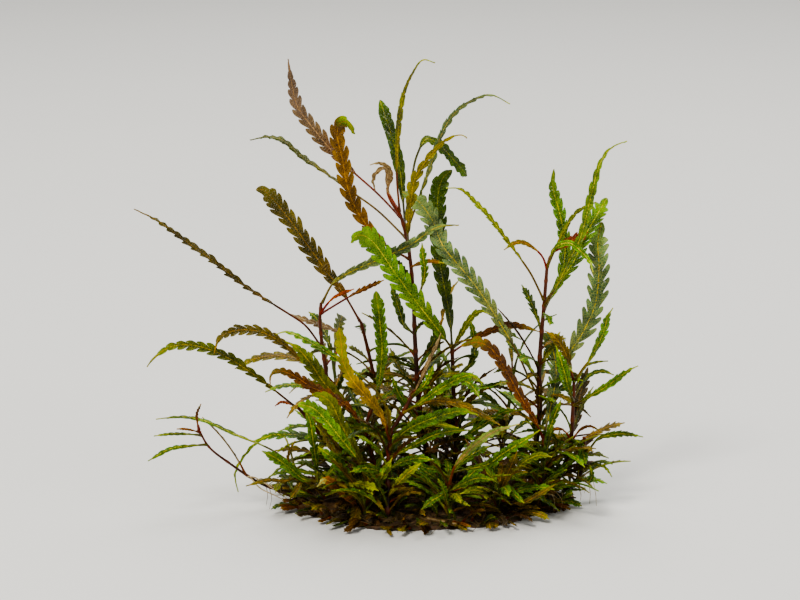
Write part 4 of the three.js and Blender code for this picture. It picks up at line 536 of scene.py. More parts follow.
# Where along a blade the tip's colour starts and where it is full.
TIP_COLOUR = (0.68, 0.97)
OWN_TIP_COLOUR = {
    "ochre": (0.83, 0.88), "mauve": (0.25, 0.85), "fox": (0.78, 0.84), "amber": (0.4, 0.75),
}


def linear(code):
    """A colour code as the linear values that shaders take."""
    values = [int(code[k:k + 2], 16) / 255 for k in (1, 3, 5)]
    return tuple(v / 12.92 if v <= 0.04045 else ((v + 0.055) / 1.055) ** 2.4 for v in values)


def colour(name, description, code):
    """A colour that a user can change."""
    return bpy.props.FloatVectorProperty(
        name=name, description=description, subtype="COLOR", size=3, min=0, max=1,
        default=linear(code),
    )


def length(name, description, millimetres):
    """A length that a user can change."""
    return bpy.props.FloatProperty(
        name=name, description=description, unit="LENGTH", subtype="DISTANCE", precision=5,
        default=millimetres * MM, min=0,
    )


def share(name, description, value, most=1.0):
    """A share or factor that a user can change."""
    return bpy.props.FloatProperty(
        name=name, description=description, subtype="FACTOR", default=value, min=0, max=most
    )


class ClumpSizes(bpy.types.PropertyGroup):
    """Sizes of the leaves, stems and mat."""

    thickness: length("Blade thickness", "Thickness of a blade beside its midrib", 0.3)
    rib_height: length("Midrib height", "How far the midrib stands out above a blade", 0.13)
    keel: length("Keel", "How far the midrib stands out under a blade", 0.42)
    ripple: length("Edge ripple", "How far a blade's edge waves up and down", 0.32)
    quilt: length("Quilting", "How far a blade bulges between its side veins", 0.16)
    fold: share("Fold", "Rise of a blade's halves as a share of their width", 0.12)
    curl: share("Curl", "How far the edges of a blade turn down", 0.1)
    tilt: share("Lobe tilt", "How far single lobes tip out of the blade", 0.16)
    overlap: share("Lobe overlap", "How far each lobe rises over the one before, for its length", 0.14)
    sweep: share("Sweep", "How far lobes point forward as a share of their width", 1.75, 2.5)
    apex: share("Lobe apex", "Where along a lobe it is widest, before the sweep", 0.24)
    node_spacing: length("Node spacing", "Length of stem between two swollen nodes", 13)
    node_swelling: share("Node swelling", "Extra thickness of a stem at its nodes", 0.26)
    fibre_length: length("Root length", "Length of the fine roots on the mat", 9)
    fibre_thickness: length("Root thickness", "Thickness of the fine roots", 0.24)


class ClumpColours(bpy.types.PropertyGroup):
    """Colours of the stems, mat and floor."""

    stem: colour("Stem", "Old stem or runner between its nodes", "#1e0c06")
    stem_young: colour("Young stem", "Top of a stem or runner", "#56260e")
    shoot: colour("Shoot", "Green shoots", "#454c18")
    rhizome: colour("Rhizome", "Creeping rhizomes", "#54381c")
    mat: colour("Mat", "The tangle between the rhizomes", "#2a1d0d")
    root: colour("Root", "Fine roots on the mat", "#7d6438")
    root_pale: colour("Pale root", "Fine roots that hang from the stems", "#cdb88a")
    floor: colour("Floor", "The floor that the clump stands on", "#dedcd7")


# Directions and routes, in millimetres.
ACROSS = np.array((1.0, 0.0, 0.0))
FORWARD = np.array((0.0, math.cos(VIEW_TILT), -math.sin(VIEW_TILT)))
UPWARD = np.array((0.0, math.sin(VIEW_TILT), math.cos(VIEW_TILT)))
SKYWARD = np.array((0.0, 0.0, 1.0))
EYE = ACROSS * VIEW_ACROSS + UPWARD * VIEW_RISE - FORWARD * VIEW_DISTANCE


def seen_point(spot):
    """The point seen at across and rise that lies depth behind the origin's upright plane."""
    across, rise, depth = spot
    ray = ACROSS * across + UPWARD * rise - EYE
    return EYE + ray * ((depth - EYE[1]) / ray[1])


def unit(vector):
    """The vector, or each vector of a list, at a length of 1."""
    return vector / np.linalg.norm(vector, axis=-1, keepdims=True)


def square_to(direction, axis):
    """The part of a direction that is square to the axis."""
    return unit(direction - axis * np.dot(direction, axis))


def smooth(value):
    """A smooth step from 0 to 1."""
    t = np.clip(value, 0, 1)
    return t * t * (3 - 2 * t)


class Route:
    """A smooth route through points, read by shares of its length."""

    SPAN_STEPS = 24

    def __init__(self, points):
        points = [np.asarray(point, float) for point in points]
        first = 2 * points[0] - points[1]
        last = 2 * points[-1] - points[-2]
        ends = [first, *points, last]
        spans = [self.span(*four) for four in zip(ends, ends[1:], ends[2:], ends[3:])]
        self.spots = np.vstack([*spans, points[-1]])
        steps = np.linalg.norm(np.diff(self.spots, axis=0), axis=1)
        self.reached = np.concatenate(([0.0], np.cumsum(steps)))
        self.length = self.reached[-1]

    def span(self, before, start, end, after):
        """Points from start to end of a curve that also heeds the points before and after."""
        g0 = np.linalg.norm(start - before) ** 0.5
        g1 = np.linalg.norm(end - start) ** 0.5
        g2 = np.linalg.norm(after - end) ** 0.5
        leave = ((start - before) / g0 - (end - before) / (g0 + g1) + (end - start) / g1) * g1
        arrive = ((end - start) / g1 - (after - start) / (g1 + g2) + (after - end) / g2) * g1
        t = np.linspace(0, 1, self.SPAN_STEPS, endpoint=False)[:, None]
        square = 3 * (end - start) - 2 * leave - arrive
        cube = 2 * (start - end) + leave + arrive
        return start + leave * t + square * t ** 2 + cube * t ** 3

    def at(self, shares):
        """Points at shares of the route's length."""
        places = np.asarray(shares, float) * self.length
        return np.stack([np.interp(places, self.reached, axis) for axis in self.spots.T], -1)


class Frames:
    """Frames along a route that don't spin: the middle one faces the way given."""

    def __init__(self, route, face, facing):
        self.shares = np.linspace(0, 1, FRAME_STEPS + 1)
        self.points = route.at(self.shares)
        self.along = unit(np.gradient(self.points, axis=0))
        self.normals = np.zeros_like(self.points)
        middle = FRAME_STEPS // 2
        axis = self.along[middle]
        start = square_to(facing, axis)
        turn = math.radians(face)
        self.normals[middle] = start * math.cos(turn) + np.cross(axis, start) * math.sin(turn)
        for i in range(middle + 1, FRAME_STEPS + 1):
            self.normals[i] = square_to(self.normals[i - 1], self.along[i])
        for i in range(middle - 1, -1, -1):
            self.normals[i] = square_to(self.normals[i + 1], self.along[i])
        self.sides = np.cross(self.along, self.normals)

    def at(self, shares):
        """The point, the way along, the normal and the side at shares of the route's length."""
        def read(values):
            return np.stack([np.interp(shares, self.shares, axis) for axis in values.T], -1)
        others = [unit(read(values)) for values in (self.along, self.normals, self.sides)]
        return (read(self.points), *others)


def arched_points(start, bearing, pitch, droop, reach):
    """A route that leaves its start at a bearing and pitch and has turned down by its tip."""
    turn = math.radians(bearing)
    points = [np.asarray(start, float)]
    for s in range(ARCH_STEPS):
        rise = math.radians(pitch - droop * (s + 0.5) / ARCH_STEPS)
        flat = math.cos(rise)
        step = np.array((flat * math.cos(turn), flat * math.sin(turn), math.sin(rise)))
        points.append(points[s] + step * reach / ARCH_STEPS)
    return points


# The mat.
def edge_wobble(angle):
    """The mat's radius at an angle, as a share of its oval's."""
    return 1 + sum(part * math.sin(count * angle + phase) for count, part, phase in EDGE_WAVES)


def mat_edge(angle):
    """The point of the mat's rim at an angle."""
    wobble = edge_wobble(angle)
    x = MAT_MIDDLE + MAT_HALF[0] * wobble * math.cos(angle)
    return np.array((x, MAT_HALF[1] * wobble * math.sin(angle)))


def mat_height(part, angle):
    """Height of the mound at a share of its radius."""
    lumps = LUMPS["height"] * math.sin(LUMPS["count"] * angle + LUMPS["phase"])
    lumps *= math.sin(math.pi * part)
    return MAT_RIM + (MAT_HEIGHT - MAT_RIM) * (1 - part * part) + lumps


def mat_top(x, y):
    """Height of the mound over a point of its flat cut."""
    over = (x - MAT_MIDDLE) / MAT_HALF[0]
    back = y / MAT_HALF[1]
    angle = math.atan2(back, over)
    part = math.hypot(over, back) / edge_wobble(angle)
    return mat_height(min(part, 1.0), angle)


class Stem:
    """A stem's middle line and its radii."""

    def __init__(self, foot, radii, path):
        x, y = foot
        top = mat_top(x, y) + STEM_FOOT_RISE
        low = np.array((x, y, top))
        self.route = Route([low, low + SKYWARD * STEM_START, *path])
        self.radii = radii
        self.line = self.route.at(np.linspace(0, 1, STEM_POINTS + 1))

    def nearest(self, point):
        """The stem's nearest point, its radius there and which way it runs."""
        best = int(np.argmin(np.linalg.norm(self.line - point, axis=1)))
        before = self.line[max(best - 1, 0)]
        after = self.line[min(best + 1, STEM_POINTS)]
        foot, top = self.radii
        return self.line[best], foot + (top - foot) * best / STEM_POINTS, unit(after - before)


def from_stem(stem, points, depth):
    """A leaf's route that starts a share of the stem's radius out from its middle line."""
    point, radius, along = stem.nearest(points[0])
    away = square_to(points[1] - point, along)
    return [point + away * radius * depth, *points[1:]]


def planted_stem(name):
    """The stem that a row of the table of stems describes."""
    radii, foot, path = STEMS[name]
    return Stem(foot, radii, [seen_point(spot) for spot in path])


# Leaves.
# The columns of points on each half of a blade, the rows along each lobe, and the tip's rows.
FINE = {
    "columns": (0.0, 0.1, 0.34, 0.68, 1.0),
    "rows": (0.0, 0.04, 0.09, 0.18, 0.34, 0.52, 0.68, 0.82, 0.92, 0.98),
    "tip": 9,
}
PLAIN = {"columns": (0.0, 0.16, 0.58, 1.0), "rows": (0.0, 0.09, 0.3, 0.68, 0.93), "tip": 5}
SMALL = {"columns": (0.0, 0.2, 1.0), "rows": (0.0, 0.2, 0.75), "tip": 3}
# Rows along a petiole: how far apart, and how many at least.
STALK_STEP = 3
LEAST_STALK_ROWS = 3
# The share of a lobe's length that its sinus takes before it, and the power it then rises by.
SLIT = 0.03
LOBE_SHOULDER = 0.45
# How full a lobe's end is at a deep cut, what a shallower cut adds, and the cut it counts from.
LOBE_FULLNESS = 2.2
SHALLOW_FULLNESS = 5
DEEP_CUT = 0.6
# How wide the tip past the last lobe is for a lobe, and the share of a lobe's length over which
# it gets so wide.
TIP_LOBE = 0.75
TIP_LOBE_SPAN = 0.9
# The share of the half width that the cuts take for a leaf's cut, the most that it can be, and
# how much shallower the cuts get beyond a share of the blade.
CUT_DEPTH = 1.4
MOST_CUT = 0.8
CUT_FADE = 0.45
CUT_FADE_FROM = 0.55
# The shares of a blade over which it gets its width and its flat shape out of the petiole.
WIDENING = 0.05
FLATTENING = 0.06
# How lobes vary: the shift of one side against the other, and how wide single lobes are.
LOBE_SHIFT = 0.14
LOBE_SPREAD = (0.74, 1.08)
# The shares of a blade before its tip over which lobes stop pointing forward and waves fade.
SWEEP_FADE = 0.3
WAVE_FADE = 0.2
# The midrib's half width, and how much of its height it keeps at the tip.
RIB_HALF = 0.34
RIB_AT_TIP = 0.4
# How high a petiole's upper side is for its half width, and how it swells where it leaves the
# stem: by what share, and over what length.
PETIOLE_FLATNESS = 0.85
PETIOLE_SWELLING = 0.7
PETIOLE_SWELLING_LENGTH = 1.6


def blade(width, bare, lobes, cut, face, ending=SHORT_TIP):
    """What a leaf is shaped by, besides its route."""
    return {"width": width, "bare": bare, "lobes": lobes, "cut": cut, "face": face, "ending": ending}


def leaf_rows(leaf, reach, rows, tip):
    """Shares of the blade at each row of points; the petiole's run from -1 to 0."""
    stalk = max(LEAST_STALK_ROWS, round(leaf["bare"] * reach / STALK_STEP))
    pitch = (LOBES_TO - LOBES_FROM) / leaf["lobes"]
    stalk_shares = np.linspace(-1, 0, stalk, endpoint=False)
    lobes = (LOBES_FROM + pitch * np.add.outer(np.arange(leaf["lobes"]), rows)).ravel()
    ends = LOBES_TO + (1 - LOBES_TO) * np.sin(np.linspace(0, math.pi / 2, tip))
    return np.concatenate((stalk_shares, [0.0], lobes, ends)), pitch


def lobe_profile(phase, apex, fullness):
    """A round ended finger in the sheared frame: up at once, over its end, down to the sinus."""
    t = phase - np.floor(phase)
    rise = np.clip((t - SLIT) / (apex - SLIT), 0, 1)
    fall = np.clip((t - apex) / (1 - apex), 0, 1)
    start = np.sin(math.pi / 2 * rise) ** LOBE_SHOULDER
    return np.where(t < apex, start, np.sqrt(1 - fall ** fullness))


def half_widths(leaf, place, pitch, offset, wide, apex):
    """Half width of a blade's one side, and the half width without its lobes."""
    s = np.clip(place, 0, 1)
    base = np.minimum(1, BLADE_START + BLADE_WIDEN * s)
    narrowing, power = leaf["ending"]
    tip = np.minimum(1, ((1 - s) / narrowing) ** power)
    full = leaf["width"] / 2 * base * tip
    phase = (s - LOBES_FROM) / pitch + offset * np.sin(math.pi * np.clip(s, 0, LOBES_TO) / LOBES_TO)
    fullness = LOBE_FULLNESS + SHALLOW_FULLNESS * max(DEEP_CUT - leaf["cut"], 0)
    lobed = lobe_profile(phase, apex, fullness)
    past = smooth((s - LOBES_TO) / (TIP_LOBE_SPAN * pitch))
    lobed = np.where(s > LOBES_TO, TIP_LOBE * past, lobed)
    lobed = np.where(s < LOBES_FROM, 0, lobed)
    lobe = np.clip(phase.astype(int), 0, leaf["lobes"] - 1)
    fading = smooth((s - CUT_FADE_FROM) / (1 - CUT_FADE_FROM))
    cut = min(CUT_DEPTH * leaf["cut"], MOST_CUT) * (1 - CUT_FADE * fading)
    grown = full * (1 - cut) + full * cut * lobed * wide[lobe]
    blown = smooth(place / WIDENING)
    half = PETIOLE_RADIUS * (1 - blown) + np.maximum(grown, TIP_HALF) * blown
    return half, full, lobed, lobe


def leaf_shell(leaf, points, facing, detail, seed):
    """Rings of points around a lobed leaf from its petiole to its tip, and what they carry."""
    sizes = bpy.context.scene.clump_sizes
    draw = np.random.default_rng(seed)
    route = Route(points)
    frames = Frames(route, leaf["face"], facing)
    place, pitch = leaf_rows(leaf, route.length, detail["rows"], detail["tip"])
    bare = leaf["bare"]
    u = np.where(place < 0, bare * (1 + place), bare + (1 - bare) * place)

    reach = np.array(detail["columns"])
    columns = np.concatenate((-reach[:0:-1], reach))
    offset = draw.uniform(-LOBE_SHIFT, LOBE_SHIFT)
    waves = draw.uniform(0, 2 * math.pi)
    left, right = draw.uniform(*LOBE_SPREAD, (2, leaf["lobes"]))
    tips = draw.uniform(-1, 1, (2, leaf["lobes"]))
    halves = []
    for sign, wide, tip in ((-1, left, tips[0]), (1, right, tips[1])):
        half, full, lobed, lobe = half_widths(leaf, place, pitch, sign * offset, wide, sizes.apex)
        halves.append((half, full, lobed, tip[lobe]))
    blown = smooth(place / FLATTENING)[:, None]
    phase = ((np.clip(place, 0, 1) - LOBES_FROM) / pitch)[:, None]

    v = columns[None, :]
    out = np.abs(v)
    pick = v < 0
    half = np.where(pick, halves[0][0][:, None], halves[1][0][:, None])
    full = np.where(pick, halves[0][1][:, None], halves[1][1][:, None])
    lobed = np.where(pick, halves[0][2][:, None], halves[1][2][:, None])
    tipped = np.where(pick, halves[0][3][:, None], halves[1][3][:, None])
    x = v * half
    apart = np.abs(x)
    # The lobes point forward along the route, less so near the tip, and never fold.
    to_tip = 1 - np.clip(place, 0, 1)
    swept = np.clip(to_tip / SWEEP_FADE, 0, 1)[:, None]
    where = u[:, None] + sizes.sweep * apart * blown * swept / route.length
    point, along, normal, side = frames.at(np.minimum(where, 1))
    point = point + along * (np.maximum(where - 1, 0) * route.length)[..., None]
    fade = smooth(to_tip / WAVE_FADE)[:, None]
    lift = sizes.fold * apart - sizes.curl * apart ** 2 / (full + 0.5)
    lift = lift + sizes.tilt * tipped * lobed * apart * out
    tile = pitch * (1 - bare) * route.length * (0.5 - (phase - np.floor(phase)))
    lift = lift + sizes.overlap * tile * lobed * out ** 2
    lift = lift + sizes.ripple / MM * out ** 2 * np.sin(2 * math.pi * phase + waves) * fade
    lift = lift + sizes.quilt / MM * np.sin(math.pi * out) * np.cos(2 * math.pi * phase) * fade
    rib = np.exp(-(apart / RIB_HALF) ** 2) * (RIB_AT_TIP + (1 - RIB_AT_TIP) * fade)
    skin_half = sizes.thickness / MM / 2 * np.sqrt(np.clip(1 - out ** 2, 0, 1))
    round_half = half * np.sqrt(np.clip(1 - out ** 2, 0, 1))
    above = lift + skin_half + rib * sizes.rib_height / MM
    below = lift - skin_half - rib * sizes.keel / MM
    # The shell's edge is where its upper and lower sides meet.
    above[:, [0, -1]] = lift[:, [0, -1]]
    below[:, [0, -1]] = lift[:, [0, -1]]
    above = blown * above + (1 - blown) * PETIOLE_FLATNESS * round_half
    below = blown * below - (1 - blown) * round_half
    from_foot = np.clip(u * route.length, 0, None)[:, None]
    swollen = 1 + PETIOLE_SWELLING * np.exp(-from_foot / PETIOLE_SWELLING_LENGTH)
    stalk = np.where(blown < 1, swollen, 1.0)

    def surface(height):
        return point + side * (x * stalk)[..., None] + normal * (height * stalk)[..., None]

    back = slice(-2, 0, -1)
    rings = np.concatenate((surface(above), surface(below)[:, back]), axis=1)

    def around(values):
        values = np.broadcast_to(values, x.shape)
        return np.concatenate((values, values[:, back]), axis=1)

    carried = {
        "along": around(place[:, None]),
        "rib": around(x),
        "uv": np.stack((around(phase), around((v + 1) / 2)), -1),
    }
    return rings, carried


# The shade of what isn't a leaf, and the angle from which an edge is drawn sharp.
EVEN_SHADE = 0.5
SHARP_ANGLE = math.radians(75)


class Shells:
    """Closed shells gathered into one mesh, with the values that their finishes read."""

    def __init__(self):
        self.points = []
        self.faces = []
        self.kinds = []
        self.values = {"along": [], "rib": [], "ring": [], "shade": []}
        self.spots = []
        self.count = 0
        self.materials = []

    def kind(self, material):
        """The material's number in the mesh."""
        if material not in self.materials:
            self.materials.append(material)
        return self.materials.index(material)

    def keep(self, points, faces, material, carried):
        """Gathers a closed shell with what its points carry."""
        size = len(points)
        self.points.append(points)
        self.faces.extend(tuple(int(k) + self.count for k in face) for face in faces)
        self.kinds.extend([self.kind(material)] * len(faces))
        for key, gathered in self.values.items():
            gathered.append(np.broadcast_to(carried.get(key, 0.0), (size,)))
        self.spots.append(np.broadcast_to(carried.get("uv", (0.0, 0.0)), (size, 2)))
        self.count += size

    def add_rings(self, rings, material, carried, shade):
        """Adds a shell that runs through rings of points and is capped at both ends."""
        rows, size, _ = rings.shape
        r, k = np.meshgrid(np.arange(rows - 1), np.arange(size), indexing="ij")
        after = (k + 1) % size
        corners = (r * size + k, r * size + after, (r + 1) * size + after, (r + 1) * size + k)
        faces = np.stack(corners, -1).reshape(-1, 4).tolist()
        faces.append(list(range(size))[::-1])
        faces.append([(rows - 1) * size + j for j in range(size)])
        flat = {key: values.reshape(-1, *values.shape[2:]) for key, values in carried.items()}
        self.keep(rings.reshape(-1, 3), faces, material, {**flat, "shade": shade})

    def add_mesh(self, mesh, material):
        """Adds the shells of a mesh, with the values that its points carry."""
        points = np.empty(len(mesh.vertices) * 3)
        mesh.vertices.foreach_get("co", points)
        carried = {"shade": EVEN_SHADE}
        for key in ("along", "ring"):
            found = mesh.attributes.get(key)
            if found is not None:
                values = np.empty(len(mesh.vertices))
                found.data.foreach_get("value", values)
                carried[key] = values
        faces = [list(face.vertices) for face in mesh.polygons]
        self.keep(points.reshape(-1, 3) / MM, faces, material, carried)

    def mesh(self, name):
        """The gathered shells as one mesh."""
        mesh = bpy.data.meshes.new(name)
        mesh.from_pydata((np.vstack(self.points) * MM).tolist(), [], self.faces)
        for material in self.materials:
            mesh.materials.append(material)
        mesh.polygons.foreach_set("material_index", self.kinds)
        for key, gathered in self.values.items():
            layer = mesh.attributes.new(key, "FLOAT", "POINT")
            layer.data.foreach_set("value", np.concatenate(gathered).astype(np.float32))
        corners = np.empty(len(mesh.loops), int)
        mesh.loops.foreach_get("vertex_index", corners)
        spots = np.vstack(self.spots)[corners]
        mesh.uv_layers.new(name="UVMap").data.foreach_set("uv", spots.astype(np.float32).ravel())
        mesh.shade_smooth()
        mesh.set_sharp_from_angle(angle=SHARP_ANGLE)
        mesh.update()
        return mesh


def grow_leaf(shells, leaf, points, facing, detail, finish, seed):
    """Adds one lobed leaf to the shells."""
    rings, carried = leaf_shell(leaf, points, facing, detail, seed)
    shade = np.random.default_rng(seed + 1).uniform(0, 1)
    shells.add_rings(rings, leaf_material(finish), carried, shade)


# Geometry node trees.
class Tree:
    """A node tree under construction."""

    def __init__(self, tree):
        self.tree = tree

    def node(self, kind, settings=None, feeds=None):
        """A new node with its settings and what feeds its sockets."""
        made = self.tree.nodes.new(kind)
        for key, value in (settings or {}).items():
            setattr(made, key, value)
        for key, value in (feeds or {}).items():
            self.feed(made.inputs[key], value)
        return made

    def feed(self, socket, value):
        """Links a socket to another, or sets its value."""
        if isinstance(value, bpy.types.NodeSocket):
            self.tree.links.new(value, socket)
        elif value is not None:
            socket.default_value = value

    def math(self, operation, *values):
        """The outcome of an operation on one, two or three values."""
        return self.node("ShaderNodeMath", {"operation": operation}, dict(enumerate(values))).outputs[0]

    def ramp(self, value, start, end, low=0.0, high=1.0, kind="SMOOTHSTEP"):
        """A value that goes from low to high as the one given goes from start to end."""
        feeds = {"Value": value, "From Min": start, "From Max": end, "To Min": low, "To Max": high}
        return self.node("ShaderNodeMapRange", {"interpolation_type": kind}, feeds).outputs[0]


def new_tree(name, inputs):
    """An empty geometry tree with named inputs; returns it, its maker and its input node."""
    tree = bpy.data.node_groups.new(name, "GeometryNodeTree")
    for title, kind in (("Geometry", "NodeSocketGeometry"), *inputs):
        tree.interface.new_socket(name=title, in_out="INPUT", socket_type=kind)
    tree.interface.new_socket(name="Geometry", in_out="OUTPUT", socket_type="NodeSocketGeometry")
    maker = Tree(tree)
    return tree, maker, maker.node("NodeGroupInput").outputs


def finish_tree(maker, geometry, material):
    """Ends a tree in real geometry with its material."""
    real = maker.node("GeometryNodeRealizeInstances", None, {"Geometry": geometry})
    painted = maker.node(
        "GeometryNodeSetMaterial", None, {"Geometry": real.outputs[0], "Material": material}
    )
    maker.node("NodeGroupOutput", None, {"Geometry": painted.outputs[0]})


def sweep(maker, curve, radius, sides):
    """A closed tube along a curve."""
    sized = maker.node("GeometryNodeSetCurveRadius", None, {"Curve": curve, "Radius": radius})
    circle = maker.node("GeometryNodeCurvePrimitiveCircle", None, {"Resolution": sides, "Radius": 1.0})
    tube = maker.node(
        "GeometryNodeCurveToMesh",
        None,
        {"Curve": sized.outputs[0], "Profile Curve": circle.outputs[0], "Fill Caps": True},
    )
    if "Scale" in tube.inputs:
        maker.feed(tube.inputs["Scale"], maker.node("GeometryNodeInputRadius").outputs[0])
    return tube.outputs[0]


# Where a node's swelling starts on the way from the middle between two nodes, as a share.
NODE_FROM = 0.72


def rod_tree():
    """A tapering rod along a route, with swollen nodes at a spacing."""
    kinds = [(title, "NodeSocketFloat") for title in ("Foot Radius", "Top Radius", "Spacing", "Swelling")]
    kinds += [("Sides", "NodeSocketInt"), ("Material", "NodeSocketMaterial")]
    tree, maker, given = new_tree("Rod with nodes", kinds)
    curve = maker.node("GeometryNodeMeshToCurve", None, {"Mesh": given["Geometry"]}).outputs[0]
    spline = maker.node("GeometryNodeSplineParameter")
    half = maker.math("MULTIPLY", given["Spacing"], 0.5)
    saw = maker.math("DIVIDE", maker.math("PINGPONG", spline.outputs["Length"], half), half)
    peak = maker.ramp(saw, NODE_FROM, 1.0)
    radii = (given["Foot Radius"], given["Top Radius"])
    taper = maker.ramp(spline.outputs["Factor"], 0.0, 1.0, *radii, "LINEAR")
    grown = maker.math("MULTIPLY", peak, given["Swelling"])
    radius = maker.math("MULTIPLY", taper, maker.math("ADD", grown, 1.0))
    for key, value in (("along", spline.outputs["Factor"]), ("ring", peak)):
        stored = maker.node(
            "GeometryNodeStoreNamedAttribute", {"data_type": "FLOAT", "domain": "POINT"},
            {"Geometry": curve, "Name": key, "Value": value},
        )
        curve = stored.outputs[0]
    finish_tree(maker, sweep(maker, curve, radius, given["Sides"]), given["Material"])
    return tree


# Fibres: how far up a face has to look to bear them, how far their middle bends aside for half
# their length, points along and around one, their least and most size for the one given, and
# the least height of a point, in metres.
BEARING_FACE = 0.25
FIBRE_BEND = 0.7
FIBRE_POINTS = 6
FIBRE_SIDES = 5
FIBRE_SIZES = (0.45, 1.35)
FIBRE_FLOOR = 0.00008


def strewn_tree():
    """Bent fibres strewn over the upper side of a surface, no lower than the floor."""
    kinds = [(title, "NodeSocketFloat") for title in ("Density", "Length", "Thickness", "Lean", "Rise")]
    kinds += [("Seed", "NodeSocketInt"), ("Material", "NodeSocketMaterial")]
    tree, maker, given = new_tree("Strewn fibres", kinds)
    normal = maker.node("GeometryNodeInputNormal").outputs[0]
    facing = maker.node("ShaderNodeSeparateXYZ", None, {0: normal})
    upper = maker.math("GREATER_THAN", facing.outputs["Z"], BEARING_FACE)
    spots = maker.node(
        "GeometryNodeDistributePointsOnFaces", None,
        {
            "Mesh": given["Geometry"], "Selection": upper,
            "Density": given["Density"], "Seed": given["Seed"],
        },
    )
    half = maker.math("MULTIPLY", given["Length"], 0.5)
    back = maker.math("MULTIPLY", half, -1.0)
    bend = maker.math("MULTIPLY", half, FIBRE_BEND)
    arch = maker.node("ShaderNodeCombineXYZ", None, {"Y": bend, "Z": given["Rise"]})
    arc = maker.node(
        "GeometryNodeCurveQuadraticBezier", None,
        {
            "Resolution": FIBRE_POINTS,
            "Start": maker.node("ShaderNodeCombineXYZ", None, {"X": back}).outputs[0],
            "Middle": arch.outputs[0],
            "End": maker.node("ShaderNodeCombineXYZ", None, {"X": half}).outputs[0],
        },
    )
    fibre = sweep(maker, arc.outputs[0], maker.math("MULTIPLY", given["Thickness"], 0.5), FIBRE_SIDES)
    lean = given["Lean"]
    less = maker.math("MULTIPLY", lean, -1.0)
    turned = maker.node("FunctionNodeRandomValue", {"data_type": "FLOAT_VECTOR"}, {"Seed": given["Seed"]})
    low = maker.node("ShaderNodeCombineXYZ", None, {"X": less, "Y": less})
    high = maker.node("ShaderNodeCombineXYZ", None, {"X": lean, "Y": lean, "Z": 2 * math.pi})
    maker.feed(turned.inputs[0], low.outputs[0])
    maker.feed(turned.inputs[1], high.outputs[0])
    sizes = maker.node("FunctionNodeRandomValue", {"data_type": "FLOAT"}, {"Seed": given["Seed"]})
    for socket, value in zip(sizes.inputs[2:4], FIBRE_SIZES):
        maker.feed(socket, value)
    placed = maker.node(
        "GeometryNodeInstanceOnPoints", None,
        {
            "Points": spots.outputs["Points"], "Instance": fibre,
            "Rotation": turned.outputs[0], "Scale": sizes.outputs[1],
        },
    )
    real = maker.node("GeometryNodeRealizeInstances", None, {"Geometry": placed.outputs[0]})
    position = maker.node("GeometryNodeInputPosition").outputs[0]
    place = maker.node("ShaderNodeSeparateXYZ", None, {0: position})
    lifted = maker.math("MAXIMUM", place.outputs["Z"], FIBRE_FLOOR)
    kept = maker.node(
        "ShaderNodeCombineXYZ", None, {"X": place.outputs["X"], "Y": place.outputs["Y"], "Z": lifted}
    )
    moved = maker.node(
        "GeometryNodeSetPosition", None, {"Geometry": real.outputs[0], "Position": kept.outputs[0]}
    )
    finish_tree(maker, moved.outputs[0], given["Material"])
    return tree


def run_tree(tree, mesh, **values):
    """The plain mesh that a tree makes of a mesh. Keys are input names with _ for a space."""
    carrier = bpy.data.objects.new("carrier", mesh)
    bpy.context.scene.collection.objects.link(carrier)
    modifier = carrier.modifiers.new("Tree", "NODES")
    modifier.node_group = tree
    given = {key.replace("_", " ").lower(): value for key, value in values.items()}
    for socket in tree.interface.items_tree:
        if socket.in_out == "INPUT" and socket.name.lower() in given:
            modifier[socket.identifier] = given[socket.name.lower()]
    graph = bpy.context.evaluated_depsgraph_get()
    made = bpy.data.meshes.new_from_object(carrier.evaluated_get(graph))
    carrier.modifiers.remove(modifier)
    bpy.data.objects.remove(carrier)
    return made


def rod(shells, tree, points, radii, spacing, swelling, material, sides=10):
    """Adds a rod along points, in millimetres, to the shells."""
    line = bpy.data.meshes.new("line")
    links = [(k, k + 1) for k in range(len(points) - 1)]
    line.from_pydata((np.asarray(points) * MM).tolist(), links, [])
    made = run_tree(
        tree, line, foot_radius=radii[0] * MM, top_radius=radii[1] * MM, spacing=spacing,
        swelling=swelling, sides=sides, material=material,
    )
    shells.add_mesh(made, material)
    bpy.data.meshes.remove(made)
    bpy.data.meshes.remove(line)


# Finishes.
def shader(name):
    """A new material, the maker of its nodes and its shader."""
    material = bpy.data.materials.new(name)
    material.use_nodes = True
    maker = Tree(material.node_tree)
    return material, maker, material.node_tree.nodes["Principled BSDF"]


def mixed(maker, factor, first, second, blend="MIX"):
    """A mix of two colours."""
    made = maker.node("ShaderNodeMix", {"data_type": "RGBA", "blend_type": blend})
    maker.feed(made.inputs[0], factor)
    for socket, value in ((made.inputs[6], first), (made.inputs[7], second)):
        maker.feed(socket, (*value, 1.0) if isinstance(value, tuple) else value)
    return made.outputs[2]


def carried_value(maker, name):
    """A value that the mesh's points carry."""
    return maker.node("ShaderNodeAttribute", {"attribute_name": name}).outputs["Fac"]


def cloud(maker, place, scale, detail=3.0, roughness=0.55):
    """Soft noise at a place."""
    feeds = {"Vector": place, "Scale": scale, "Detail": detail, "Roughness": roughness}
    return maker.node("ShaderNodeTexNoise", None, feeds).outputs["Fac"]


def object_place(maker):
    """The place on the object, in metres."""
    return maker.node("ShaderNodeTexCoord").outputs["Object"]


def bumped(maker, surface, height, strength, distance):
    """Gives a surface fine relief, distance metres high."""
    feeds = {"Height": height, "Strength": strength, "Distance": distance}
    maker.feed(surface.inputs["Normal"], maker.node("ShaderNodeBump", None, feeds).outputs[0])


# Each finish that is made, by its name, so that the pieces share it.
MATERIALS = {}
# How fine the patterns of a blade are: patches, grains, the net of veins and specks.
PATCH_SCALE = 95.0
GRAIN_SCALE = 700.0
NET_SCALE = 800.0
SPECK_SCALE = 420.0
# How much a leaf's own shade changes it: the darkest, and what the lightest adds.
DARKEST = 0.84
LIGHTER = 0.36


